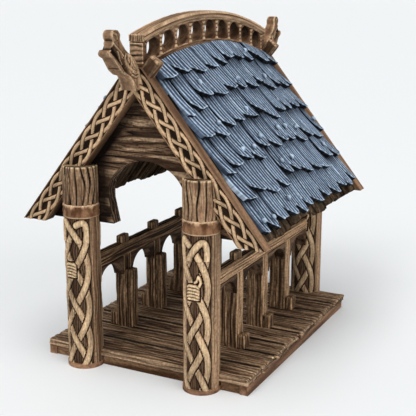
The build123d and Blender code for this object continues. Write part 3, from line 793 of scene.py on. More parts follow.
# ---- posts ------------------------------------------------------------------------------------
def log_surface(name, s, e, level, angle, radius, height, tones, node, housed=False):
    """A log: points at radius plus height round the post's axis, for each row of level, closed
    at both ends.  A housed log's back is flat against the bargeboards."""
    away = radius + height
    x = s * POST_X + away * np.sin(angle)
    y = e * POST_Y - away * np.cos(angle)
    if housed:
        y = e * np.maximum(e * y, BARGE_BACK)
    return tube(name, np.stack([x, y, level + 0 * x], -1), tones, node)


def log_grain(seed, angle, level, radius):
    """Grain place of a log's surface: along z, round its girth, and a slice of its own."""
    girth = angle * radius
    return np.stack([level + 0 * girth, girth + 0 * level, seed * 3.0 + 0 * girth * level], -1)


def smooth_path(points):
    """A path through the points whose corners are cut at a quarter and at three quarters of
    each run, three times."""
    path = np.array(points, float)
    for _ in range(3):
        cut = np.stack([0.75 * path[:-1] + 0.25 * path[1:],
                        0.25 * path[:-1] + 0.75 * path[1:]], 1).reshape(-1, 2)
        path = np.concatenate([path[:1], cut, path[-1:]])
    return path


class LYCHGATE_OT_posts(bpy.types.Operator):
    """Four log posts with plaited carving, bark above, collars and foot rings"""
    bl_idname = "lychgate.posts"
    bl_label = "Posts"

    # paths of the strands above the plait, as arc and height over the plait's end, and of the
    # hooked cord, as arc and height
    LEFT_TOP = (((1.88, 0), (1.2, 1.1), (0.5, 2.5)),
                ((4.21, 0), (4.45, 2.5), (4.55, 5.0), (4.15, 6.4), (3.2, 6.1), (0.13, 2.8),
                 (-1.88, 0)),
                ((-4.21, 0), (-4.35, 2.1), (-4.3, 4.2), (-3.9, 5.7), (-2.9, 6.2), (-1.0, 5.3)))
    RIGHT_TOP = (((-3.99, 0), (-4.4, 2), (-4.6, 4.5), (-4.45, 6.0), (-3.3, 5.5), (-1.84, 4.4)),
                 ((1.75, 0), (0.85, 1.4), (0.2, 2.7)),
                 ((-1.78, 0), (-1.52, 0.9), (0.05, 3.3), (1.7, 5.0), (2.9, 5.5), (3.9, 4.3),
                  (4.1, 1.8), (3.99, 0)))
    HOOK = ((0.4, 34.2), (1.0, 34.7), (1.45, 36.0), (1.9, 35.2), (2.15, 34.2), (1.6, 33.0))

    def execute(self, context):
        carving = context.scene.lychgate_carving
        colours = context.scene.lychgate_paint
        # the left posts get their own paint with a darker base, as painted shade
        right_paint, left_paint = (
            paint(name, base, pitch=0.75, lines=0.55, strands=True, brushed=colours.strand_top)
            for name, base in (("right log paint", colours.log),
                               ("left log paint with painted shade", colours.log_left_shaded)))
        collar_paint = paint("collar paint", colours.collar, pitch=0.9, lines=0.35,
                             brushing=1.0, gloss=0.15)
        rows, columns = 184, 150
        level = np.linspace(POST_LOW[2], POST_HIGH[2], rows)[:, None]
        angle = np.linspace(0, 2 * pi, columns, endpoint=False)[None]
        pitch = carving.post_plait * 1000
        strand = carving.post_strand * 1000 / 2
        for end, e in ENDS.items():
            for side, s in SIDES.items():
                seed = 11 + (e > 0) * 5 + (s > 0) * 3
                height, on_strand, shade = self.shaft_height(seed, angle, level, s, pitch,
                                                             strand)
                ridge, groove = relief_tones(height, 3, 0.20)
                log_paint = right_paint if s > 0 else left_paint
                # painted highlight: the right posts' plain outer side is painted a little paler,
                # for the light falling on it
                plain_highlight = np.clip((1.15 - np.abs(angle - radians(85))) / 0.3, 0, 1) * (s > 0)
                tones = {"ridge": np.clip(ridge * 1.1 + 0.75 * on_strand ** 2
                                          + 0.12 * plain_highlight * (1 - shade), 0, 1),
                         "groove": np.clip(groove * 1.7 + shade, 0, 1),
                         "strand": on_strand,
                         "grain": log_grain(seed, angle, level, POST_RADIUS)}
                post = "%s_%s" % (end, side)
                give(log_surface("shaft_" + post, s, e, level, angle, POST_RADIUS, height,
                                 tones, "post_" + post), log_paint)
                give(self.upper_log(post, e, s, seed), log_paint)
        self.collars(collar_paint)
        give("post_foot_rings", paint("foot ring paint", colours.log, pitch=0.8, lines=0.3,
                                      along="x"))
        return {"FINISHED"}

    def shaft_height(self, seed, angle, level, s, pitch, strand):
        """Height, strand mask and deep shade of a shaft's surface.

        The plait lies on the outer and on the inner face, and is mirrored on the left posts.
        Its place across is the arc from the middle of the face.  Loops close it under the
        collar, and a knot of cords is bound round its middle."""
        reach = radians(46.0 if s > 0 else 48.5) * POST_RADIUS
        offset = radians(2.0 if s > 0 else 3.7)
        half_field = radians(63) * POST_RADIUS
        girth = angle * POST_RADIUS
        best = -0.03 - 0.26 * grain_grooves(seed, level, girth, 1.35, stretch=14.0, wander=0.4)
        strand_mask, shade = np.zeros_like(best), np.zeros_like(best)
        loops_top, loops_tall, first_crossing = level[-1, 0] - 2.9, 4.5, 1.37
        for face in (0.0, pi):
            turn = (angle - face + pi) % (2 * pi) - pi
            arc = (turn * cos(face) - offset) * POST_RADIUS * s
            field = np.clip((half_field - np.abs(arc)) / 0.8, 0, 1)
            share, on = plait(loops_top - first_crossing - level + 0 * arc, arc + 0 * level,
                              pitch, reach, strand)
            share, on = self.closing_loops(share, on, arc, level, loops_top - loops_tall,
                                           strand, s)
            share, on = self.bound_knot(share, on, arc, level, s)
            line = grain_grooves(seed + 4, level, girth, 0.8, stretch=12.0, wander=0.3)
            # fine threads run along the strands, and the bare field between them is grooved
            thread = 0.05 * np.sin(arc * 7.5 + 2.5 * ripple(seed + 6, level / 3, arc / 2))
            strand_foot, strand_rise, bare_depth = -0.62, 0.80, 0.58
            carved = np.where(share > 0.02, strand_foot + strand_rise * share + thread * on,
                              -bare_depth - 0.10 * line)
            best = best * (1 - field) + carved * field
            # paint: pale on the strands' round tops, and a dark wash with painted shade between
            # them and at the rim
            fibre = 0.90 + 0.25 * ripple(seed + 8, level / 2.6, arc / 0.55)
            rounded = np.clip(share, 0, 1) ** 3 * fibre
            strand_mask = np.maximum(strand_mask, on * (field > 0.5) * (0.10 + 0.9 * rounded))
            rim = np.clip(1.15 - np.abs(field - 0.5) * 2.2, 0, 1)
            bare = (0.56 + 0.6 * line) * field * (1 - on)
            shade = np.maximum(shade, np.maximum(bare, 0.45 * rim))
        return best, strand_mask, shade

    def closing_loops(self, share, on, arc, level, foot_z, strand, s):
        """The strands over foot_z: rounded cords along smoothed paths, laid in turn, each with
        a narrow gap in those below it."""
        top_share, top_on = np.zeros_like(share), np.zeros_like(on)
        for points in self.RIGHT_TOP if s > 0 else self.LEFT_TOP:
            near = path_distance(arc + 0 * level, level - foot_z + 0 * arc,
                                 smooth_path(points))[0] / strand
            dome = np.sqrt(np.clip(1 - near ** 2.4, 0, 1))
            top_share = np.where(near < 1.32, dome, top_share)
            top_on = np.where(near < 1.32, near < 0.97, top_on)
        over = level + 0 * arc > foot_z
        return np.where(over, top_share, share), np.where(over, top_on, on)

    def bound_knot(self, share, on, arc, level, s):
        """The knot: a box of cords that stands out of the plait and bends down at both ends,
        higher in the middle of each cord, with a narrow gap round it.  A thin hooked cord lies
        over it on the right posts."""
        middle_z, middle_arc, tall, wide = ((31.25, -0.35, 2.35, 2.2) if s > 0
                                            else (31.8, 1.2, 2.4, 1.95))
        gap, cords = 0.4, 5
        aside = np.abs(arc - middle_arc) + 0 * level
        bowed = level - middle_z + 0.7 * (aside / wide) ** 3
        clear = ((bowed < tall + gap) & (level > middle_z - tall - gap)
                 & (aside < wide + 0.45))
        inside = (bowed < tall) & (level > middle_z - tall) & (aside < wide)
        cord = np.abs(np.sin((bowed + tall) / (2 * tall) * pi * cords)) ** 0.6
        edge = np.clip((wide - aside) / 0.6, 0, 1) ** 0.5
        if s > 0:
            hook = path_distance(arc + 0 * level, level + 0 * arc, self.HOOK)[0]
            clear = clear | (hook < 0.75)
        share, on = np.where(clear, 0, share), np.where(clear, 0, on)
        if s > 0:
            share = np.maximum(share, np.sqrt(np.clip(1 - (hook / 0.45) ** 2, 0, 1)))
            on = np.maximum(on, hook < 0.42)
        share = np.where(inside, (0.55 + 0.62 * cord) * edge, share)
        return share, np.where(inside, cord > 0.45, on).astype(float)

    def upper_log(self, post, e, s, seed):
        """The log above the collar, with deep wavy bark: its grooves follow the height lines of
        drawn-out noise, which closes some of them into knots."""
        node = "post_top_" + post
        low, high = box_mm(node)
        rows, columns = 60, 150
        level = np.linspace(low[2], high[2], rows)[:, None]
        angle = np.linspace(0, 2 * pi, columns, endpoint=False)[None]
        radius = (high[0] - low[0]) / 2
        girth = angle * radius
        knot = (girth - radius * radians(20 + 8 * s)) + 0 * level
        knot_z = low[2] + (4.5 if s > 0 else 6.0)
        bulge = 0.8 * np.tanh(knot / 1.7) * np.exp(-((level - knot_z) / 4.2) ** 2)
        bark = grain_grooves(seed + 20, level, girth - bulge, 1.75, wander=0.24, sharp=0.15,
                             stretch=9.0)
        fine = grain_grooves(seed + 30, level, girth - bulge, 0.6, wander=0.3, stretch=14.0)
        height = 0.05 - 0.50 * bark - 0.05 * fine
        top_round = np.clip(0.5 - (high[2] - level), 0, None)
        height = height - top_round ** 2
        ridge = relief_tones(height + 0 * girth, 2, 0.14)[0]
        rim = np.clip(1.2 - (high[2] - level) / 0.4, 0, 1) * (1 - bark)
        streak = np.clip(0.25 + 0.9 * ripple(seed + 33, level / 6, girth / 0.7), 0, 1)
        tones = {"ridge": np.clip(0.7 * ridge + rim + 0.38 * streak * (1 - bark), 0, 1),
                 "groove": np.clip(1.6 * bark + 0.5 * fine, 0, 1),
                 "grain": log_grain(seed + 9, angle, level, radius)}
        return log_surface("upper_log_" + post, s, e, level, angle, radius, height, tones, node,
                           housed=True)

    def collars(self, collar_paint):
        """Bands with worn rims: the radius falls off near both rims, as the square of the way
        to the rim."""
        low, high = box_mm("post_collars")
        rows, columns = 22, 96
        level = np.linspace(low[2], high[2], rows)
        angle = np.linspace(0, 2 * pi, columns, endpoint=False)
        radius = high[0] - POST_X
        rings, tones = [], {"ridge": [], "grain": []}
        for e in ENDS.values():
            for s in SIDES.values():
                seed = 60 + e * 3 + s
                zz, aa = np.meshgrid(level, angle, indexing="ij")
                rim = np.minimum(zz - level[0], level[-1] - zz)
                away = radius - 0.25 * np.clip(1 - rim / 0.4, 0, 1) ** 2
                away = away + 0.07 * ripple(seed, aa * 2.2, zz / 1.5) - 0.06
                y = e * POST_Y - away * np.cos(aa)
                y = e * np.maximum(e * y, BARGE_BACK)
                wave = 0.14 * ripple(seed + 1, aa * 1.5, 0 * zz) * np.sign(zz - zz.mean())
                z_out = np.clip(zz + wave * (rim < 0.01), level[0], level[-1])
                rings.append(np.stack([s * POST_X + away * np.sin(aa), y, z_out], -1))
                worn = 0.45 + 0.8 * (zz > zz.mean()) * np.clip(
                    0.2 + 0.6 * ripple(seed + 2, aa * 1.3) + 0.6 * ripple(seed + 7, aa * 4.7),
                    0, 1)
                tones["ridge"].append(np.clip(1.25 - rim / worn, 0, 1))
                tones["grain"].append(np.stack([7 * zz, 1.3 * aa * radius, seed + 0 * zz], -1))
        piece = skin("collar_bands", np.array(rings),
                     {key: np.array(value) for key, value in tones.items()},
                     ["post_collars"])
        give(piece, collar_paint)


# ---- deck -------------------------------------------------------------------------------------
class LYCHGATE_OT_deck(bpy.types.Operator):
    """Uneven planks on sills and joists"""
    bl_idname = "lychgate.deck"
    bl_label = "Deck"

    def execute(self, context):
        colours = context.scene.lychgate_paint
        rng = np.random.default_rng(7)
        low, high = box_mm("deck_boards")
        share = np.array([11.3, 10.3, 9.2, 10.7, 12.5, 9.5, 10.0, 11.6])
        count = len(share)
        edges = low[1] + np.concatenate([[0], np.cumsum(share)]) * (high[1] - low[1]) / share.sum()
        gap = context.scene.lychgate_carving.plank_gap * 1000
        middle = (edges[1:] + edges[:-1]) / 2
        half = np.diff(edges) / 2 - gap / 2
        top = high[2] + 0.05
        level = (top + low[2]) / 2 - rng.uniform(0, 0.12, count)
        reach = high[0] - rng.uniform(0.1, 0.9, (2, count))
        start = np.stack([-reach[0], middle, level], -1)
        end = np.stack([reach[1], middle, level], -1)
        between = np.full((count, 2), 0.97)
        between[0, 0] = between[-1, 1] = 0
        # painted highlight on the front plank's forward face; the joints between the planks get a
        # dark wash
        planks = timbers("deck_planks", start, end, np.tile(ACROSS_Y, (count, 1)), half,
                         (top - low[2]) / 2, ["deck_boards"], corner=0.4, seed=31,
                         rows=54, pitch=1.25, depth=0.30, ragged=0.35, per_side=20,
                         dark_sides=between, wander=0.4, stretch=12.0, scuffs=1.5,
                         highlight_side=(0, -0.6, 0))
        deck_paint = paint("deck paint", colours.deck, pitch=0.9, lines=0.6, brushing=0.5,
                           gloss=0.12, spacing=1.5, wander=0.6, combing=1.0,
                           cresting=0.85, thinness=12.0)
        give(planks, deck_paint)
        give("deck_joists", paint("joist paint", colours.deck, lines=0.7, along="y"))
        give("end_sills", paint("end sill paint", colours.deck, lines=0.7, along="x"))
        sill_paint = paint("side sill paint", colours.log, lines=0.5, along="y")
        for side in SIDES:
            give("side_sill_" + side, sill_paint)
        return {"FINISHED"}


# ---- side rails -------------------------------------------------------------------------------
class LYCHGATE_OT_side_rails(bpy.types.Operator):
    """Handrails, balusters, arch braces, tenons, cheek planks and foot blocks"""
    bl_idname = "lychgate.side_rails"
    bl_label = "Side rails"

    def execute(self, context):
        colours = context.scene.lychgate_paint
        rail_paint = paint("rail paint", colours.rail, pitch=0.7, lines=0.7, brushing=0.7,
                           spacing=1.35, wander=0.5, combing=1.0, cresting=0.65,
                           thinness=12.0, brushed=colours.rail_edge)
        brace_paint = paint("brace paint", colours.rail, pitch=0.6, lines=0.65, along="y")
        for side, s in SIDES.items():
            low, high = box_mm("handrail_" + side)
            middle, half = (low + high) / 2, (high - low) / 2
            start = [[middle[0], -POST_Y + 3.5, middle[2]]]
            end = [[middle[0], POST_Y - 3.5, middle[2]]]
            # painted highlight on the rail's outer face, for the light falling on it
            rail = timbers("handrail_timber_" + side, start, end, [ACROSS_X], half[0],
                           half[2], ["handrail_" + side], corner=0.55,
                           seed=41 + s, rows=150, pitch=1.05, depth=0.24, per_side=12,
                           wander=0.22, stretch=26.0, highlight_side=(1.05 * s, 0, 0))
            give(rail, rail_paint)
            names = ["baluster_%s_%d" % (side, i) for i in (1, 2, 3)]
            boxes = np.array([box_mm(node) for node in names])
            low, high = boxes[:, 0], boxes[:, 1]
            middle, half = (low + high) / 2, (high - low) / 2
            start = np.stack([middle[:, 0], middle[:, 1], low[:, 2] - 0.2], -1)
            end = np.stack([middle[:, 0], middle[:, 1], high[:, 2] + 0.2], -1)
            # painted highlight on the balusters' outer faces
            balusters = timbers("baluster_timbers_" + side, start, end,
                                np.tile(ACROSS_Y, (len(names), 1)), half[:, 1], half[:, 0],
                                names, corner=0.4, seed=51 + s, rows=50,
                                pitch=1.0, depth=0.2, per_side=9, wander=0.3, stretch=16.0,
                                highlight_side=(1.2 * s, 0, 0))
            give(balusters, rail_paint)
            self.planks_and_blocks(side, s, middle[:, 1], rail_paint)
            give("arch_braces_" + side, brace_paint)
        return {"FINISHED"}

    def planks_and_blocks(self, side, s, places, rail_paint):
        """The pieces on both faces of the balusters, and the tenons above the rail.  Each reaches
        from its near face to its far face, away from the lychgate's middle."""
        tenon_reach = box_mm("rail_tenons")[1][0]
        for node, label, near, far in (("inner_planks", "cheek_planks_", 16.1, 18.7),
                                       ("foot_blocks", "foot_stubs_", 22.3, 24.9),
                                       ("rail_tenons", "tenon_ends_", tenon_reach - 2.4,
                                        tenon_reach)):
            low, high = box_mm(node)
            half_wide = (high[1] - low[1]) / 2 - (places[-1] - places[0]) / 2
            middle_x = s * (near + far) / 2 + 0 * places
            start = np.stack([middle_x, places, low[2] - 0.2 + 0 * places], -1)
            end = np.stack([middle_x, places, high[2] + 0 * places], -1)
            # one node holds the pieces of both sides, and the right side's replaces it
            hidden = [node] if s > 0 else None
            piece = timbers(label + side, start, end, np.tile(ACROSS_Y, (len(places), 1)),
                            half_wide, (far - near) / 2, hidden, corner=0.55,
                            seed=61 + s, rows=24, pitch=0.95, depth=0.18, per_side=8,
                            wander=0.3, stretch=14.0)
            give(piece, rail_paint)


# ---- gables -----------------------------------------------------------------------------------
class LYCHGATE_OT_gables(bpy.types.Operator):
    """Plaited bargeboards, gable boards and the crossing rafter ends"""
    bl_idname = "lychgate.gables"
    bl_label = "Gables"

    def execute(self, context):
        carving = context.scene.lychgate_carving
        colours = context.scene.lychgate_paint
        board_paint = paint("bargeboard paint", colours.timber, pitch=0.6, lines=0.4,
                            brushing=1.0, strands=True)
        # the gable boards take painted shadow under the bargeboards and beside the left post
        panel_paint = paint("gable board paint", colours.panel, pitch=0.8, lines=0.9,
                            brushing=0.7, bump=0.35, along="x", spacing=1.32, wander=0.5,
                            combing=1.0, cresting=0.8, thinness=13.0, shade=painted_shade_under_boards)
        for end, e in ENDS.items():
            for side, s in SIDES.items():
                give(self.bargeboard("bargeboard_%s_%s" % (end, side), e, s, carving),
                     board_paint)
            give("gable_board_" + end, panel_paint)
            give(self.crossing_ends(end, e), board_paint)
        return {"FINISHED"}

    def crossing_ends(self, end, e):
        """The rafters' ends that stand out past the apex: timbers along each slope's line."""
        node = "crossing_ends_" + end
        low, high = box_mm(node)
        slope = gable_slope()[1]
        wide, out = 3.9, 6.4
        sides = SIDES.values()
        ahead = np.array([[s * cos(slope), 0, sin(slope)] for s in sides])
        up = np.array([[-s * sin(slope), 0, cos(slope)] for s in sides])
        corner = np.array([[s * high[0], (low[1] + high[1]) / 2, high[2] - wide * cos(slope)]
                           for s in sides])
        finish = corner + up * wide / 2
        # painted shade: both flanks of the crossing ends are painted dark
        return timbers("crossing_timbers_" + end, finish - ahead * out, finish,
                       np.tile(ACROSS_Y, (2, 1)), (high[1] - low[1]) / 2, wide / 2,
                       [node], corner=0.6, seed=105 + e, rows=30, pitch=0.95,
                       depth=0.16, per_side=10, ragged=0.15, dark_sides=0.76)

    def bargeboard(self, node, e, s, carving):
        """A sloping board whose face is a plait in relief.

        The face is a grid: run goes along the slope from the apex, and t across it from the
        upper edge.  Each row becomes a closed ring: the face, turned over the arrises, and the
        flat back."""
        top = box_mm(node)[1][2]
        rise, slope = gable_slope()
        width = carving.board_width * 1000
        full = np.hypot(rise, TIP_X)
        rows, columns, back_columns = 400, 42, 6
        along = np.linspace(0, 1, rows)[:, None]
        across = np.linspace(0, width, columns)[None]
        back_across = np.linspace(width, 0, back_columns)[None]

        def run_at(t):
            """Places along the slope, from the upright cut at the apex to the level cut at the
            tip: both cuts slant across the board."""
            first, last = t / np.tan(pi / 2 - slope), full - t / np.tan(slope)
            return first + (last - first) * along

        run, back_run = run_at(across), run_at(back_across)
        share, on = plait(run - 1.6, across - width / 2 - 0.15, carving.board_plait * 1000,
                          width / 2 - 0.78, carving.board_strand * 1000 / 2, 1.5)
        margin = np.clip(np.clip((0.22 - across) / 0.1, 0, 1)
                         + np.clip((across - width + 0.25) / 0.1, 0, 1), 0, 1)
        field_depth, margin_depth, strand_rise = 0.75, 0.25, 0.80
        height = np.maximum(-field_depth + strand_rise * share,
                            -margin_depth * margin - field_depth * (1 - margin))
        ridge, groove = relief_tones(height, 2, 0.22)
        field = 0.93 * (1 - on) * (1 - margin)

        run = np.concatenate([run, back_run], 1)
        t = np.concatenate([across + 0 * along, back_across + 0 * along], 1)
        y = np.concatenate([BARGE_FACE + height, BARGE_BACK + 0 * back_run], 1)
        x = np.maximum(run * np.cos(slope) - t * np.sin(slope), 0)
        z = np.minimum(TIP_Z + rise - run * np.sin(slope) - t * np.cos(slope), top)
        blank = np.zeros_like(back_run)
        # the back's first and last columns lie at the board's lower and upper edge
        edges = blank + np.array([0.85, 0.3, 0, 0, 0.05, 0.28])
        tones = {
            "ridge": np.concatenate([np.clip(ridge * 1.1 * (0.3 + on), 0, 1), blank + 0.05], 1),
            "groove": np.concatenate([np.clip(np.maximum(field, groove * 0.6 * (1 - on)), 0, 1),
                                      edges], 1),
            "strand": np.concatenate([on * (0.3 + 0.7 * share), blank], 1),
            "grain": np.stack([run, t, y], -1),
        }
        return tube("plaited_" + node, np.stack([s * x, e * y, z], -1), tones,
                    node)


# ---- dragon heads -----------------------------------------------------------------------------
class LYCHGATE_OT_dragon_heads(bpy.types.Operator):
    """Dragon heads at both ends of the ridge"""
    bl_idname = "lychgate.dragon_heads"
    bl_label = "Dragon heads"

    # pairs of points on the nape and on the throat, jaw and curled lip, as shares of the reach
    # and the height, from the foot to the top
    NAPE = ((0, 0), (0, 0.13), (0, 0.22), (0, 0.30), (0, 0.37), (0.09, 0.48), (0.19, 0.56),
            (0.26, 0.595), (0.33, 0.63), (0.38, 0.66), (0.42, 0.68), (0.52, 0.775),
            (0.58, 0.85), (0.565, 0.90), (0.56, 0.93), (0.63, 0.99), (0.70, 1.0))
    THROAT = ((0.17, 0), (0.24, 0.16), (0.33, 0.25), (0.49, 0.28), (0.64, 0.36), (0.75, 0.46),
              (0.84, 0.55), (0.97, 0.60), (1.0, 0.64), (0.97, 0.69), (0.88, 0.70),
              (0.83, 0.76), (0.81, 0.83), (0.85, 0.88), (0.85, 0.94), (0.81, 0.99),
              (0.75, 1.0))

    def execute(self, context):
        colours = context.scene.lychgate_paint
        head_paint = paint("dragon paint", colours.timber, pitch=0.7, lines=0.55, bump=0.15,
                           brushing=1.0, strands=True)
        for end, e in ENDS.items():
            give(self.head(end, e), head_paint)
        return {"FINISHED"}

    def carving(self, out, up):
        """Depth of the side's carving at a place out from the bargeboards' face and up from the
        foot, both in millimetres, and the mask of its raised lines.

        The mouth is a cut that widens outwards, and a tooth and the tongue stand in it.  Raised
        lines, each beside a shallow groove, follow short paths, and two round pits lie between
        them.  All but the mouth fall off as a bell with the distance."""
        depth = np.zeros(np.shape(out))
        mouth, along = path_distance(out, up, ((14.2, 13.6), (10.6, 10.6), (8.1, 8.2),
                                               (6.6, 6.2), (4.6, 4.9), (2.4, 3.3)))
        wide = np.interp(along, [0, 0.2, 0.4, 0.6, 0.8, 1], [1.45, 1.15, 0.95, 0.75, 0.5, 0.25])
        depth += 0.95 * np.clip(1.25 - mouth / wide, 0, 1) ** 0.7 * np.interp(
            along, [0, 0.5, 1], [1, 0.9, 0.35])
        tooth, _ = path_distance(out, up, ((11.9, 13.3), (12.9, 12.3), (13.5, 11.6)))
        depth -= 0.85 * np.exp(-(tooth / 0.25) ** 2)
        tongue, _ = path_distance(out, up, ((9.8, 11.2), (8.9, 9.6), (7.8, 7.6)))
        depth -= 0.55 * np.exp(-(tongue / 0.22) ** 2)
        lines = ((((11.0, 14.2), (12.4, 15.9), (11.4, 16.2), (9.9, 15.6), (9.8, 14.6)), 0.24),
                 (((13.0, 14.7), (11.0, 12.9), (8.4, 11.0), (7.3, 9.9)), 0.20),
                 (((5.9, 10.3), (6.6, 9.2), (6.0, 7.9), (4.9, 6.7), (3.4, 5.8), (1.6, 5.2)),
                  0.30),
                 (((5.3, 10.1), (3.6, 9.4), (2.9, 8.3), (1.9, 6.9), (1.0, 6.1)), 0.30),
                 (((3.5, 8.9), (3.3, 7.6), (2.6, 6.3), (1.3, 5.8)), 0.20),
                 (((3.1, 5.3), (1.6, 4.6), (0.2, 4.8)), 0.20),
                 (((3.4, 4.4), (1.6, 3.7), (0.3, 4.0)), 0.20),
                 (((7.4, 5.4), (5.0, 4.2), (3.0, 2.4), (1.5, 0.6)), 0.22),
                 (((0.5, 3.9), (0.4, 2.2), (0.6, 0.4)), 0.22))
        raised = np.zeros(np.shape(out))
        for points, half in lines:
            away, _ = path_distance(out, up, points)
            raised = np.maximum(raised, np.exp(-(away / half) ** 2))
            depth += 0.20 * np.exp(-((away - 2.0 * half) / half) ** 2)
        depth -= 0.22 * raised
        for place, size in (((5.4, 9.4), 0.60), ((4.1, 7.2), 0.50)):
            away = np.hypot(out - place[0], (up - place[1]) * 0.8)
            depth += 0.75 * np.exp(-(away / size) ** 4)
        depth += 0.08 * grain_grooves(77, up * 0.8 + out * 0.6, out * 0.8 - up * 0.6, 1.0,
                                      stretch=6.0)
        return depth, raised

    def head(self, end, e):
        """A closed ring of points for each row from the foot to the top.

        Rows join matching points of the nape and the throat; the sides are half the thickness
        away, which shrinks towards the top, less the carving and less a quarter circle near
        both edges."""
        node = "dragon_head_" + end
        low, high = box_mm(node)
        reach, tall = high[1] - low[1], high[2] - low[2]
        keys = np.linspace(0, 1, len(self.NAPE))
        scale = np.array([reach, tall])
        control = np.stack([np.array(self.NAPE), np.array(self.THROAT)]) * scale
        fine = np.linspace(0, 1, 1201)
        paths = np.stack([[np.interp(fine, keys, path[:, i]) for i in range(2)]
                          for path in control])
        step = np.hypot(*np.diff(paths, axis=2).transpose(1, 0, 2)).mean(axis=0)
        travel = np.concatenate([[0], np.cumsum(step)])
        rows = np.interp(np.linspace(0, travel[-1], 132), travel, fine)
        nape, throat = (np.stack([np.interp(rows, fine, path[i]) for i in range(2)], -1)
                        for path in paths)
        v = np.linspace(0, 1, 50)
        v = (1 - np.cos(v * pi)) / 2 * 0.35 + v * 0.65
        side = nape[:, None] + (throat - nape)[:, None] * v[None, :, None]
        out, up = side[..., 0], side[..., 1]
        half = np.interp(up, [0, tall], [high[0], high[0] * 0.6])
        wide = np.linalg.norm(throat - nape, axis=1)[:, None]
        from_edge = np.minimum(v, 1 - v)[None] * wide
        rounding, thinnest = 0.35, 0.35
        inset = np.clip(rounding - from_edge, 0, None)
        corner = rounding - np.sqrt(np.clip(rounding ** 2 - inset ** 2, 0, None))
        depth, raised = self.carving(out, up)
        fade = np.clip(from_edge / 0.5, 0.35, 1)
        x = np.maximum(half - np.maximum(depth * fade, 0) - corner, thinnest)
        x = np.minimum(x, high[0])
        ridge, groove = relief_tones(x, 3, 0.16)
        rim = np.exp(-from_edge / 0.4)

        across = np.linspace(1, -1, 11)[1:-1]
        front_up = throat[:, None, 1] + 0 * across
        crease_heights = (6.6, 11.9, 14.2)
        crease = sum(np.exp(-((throat[:, 1] - z) / 0.22) ** 2) for z in crease_heights)
        crease = crease[:, None] + 0.22 * grain_grooves(81, across + 0 * front_up, front_up,
                                                        0.8)
        front_out = throat[:, None, 0] - 0.30 * np.clip(crease, 0, 1)
        back_out = nape[:, None, 0] + 0 * across
        back_up = nape[:, None, 1] + 0 * across

        def ring(side_value, front_value, back_value, mirror=1):
            """Joins the values of both sides, the front edge and the back edge to a ring."""
            return np.concatenate([side_value, front_value, mirror * side_value[:, ::-1],
                                   back_value], 1)

        ring_out = ring(out, front_out, back_out[:, ::-1])
        ring_up = ring(up, front_up, back_up[:, ::-1])
        ring_x = ring(x, across * x[:, -1:], -across * x[:, :1], -1)
        y = e * (abs(low[1] if e > 0 else high[1]) + ring_out)
        grid = np.stack([ring_x, y, low[2] + ring_up], -1)
        edge_rim = 0.5 * np.abs(across) ** 6 + 0 * front_up
        tones = {
            "ridge": np.clip(ring(np.maximum(ridge * 1.1, rim), edge_rim + 0.15, edge_rim), 0,
                             1),
            "groove": np.clip(ring(np.maximum(groove * 1.2, depth / 0.68 - 0.3),
                                   0.85 * crease, 0 * back_up), 0, 1),
            "strand": np.clip(ring(0.75 * raised, 0 * front_up, 0 * back_up), 0, 1),
            "grain": np.stack([ring_up, ring_out, ring_x], -1),
        }
        return tube("carved_" + node, grid, tones, node)


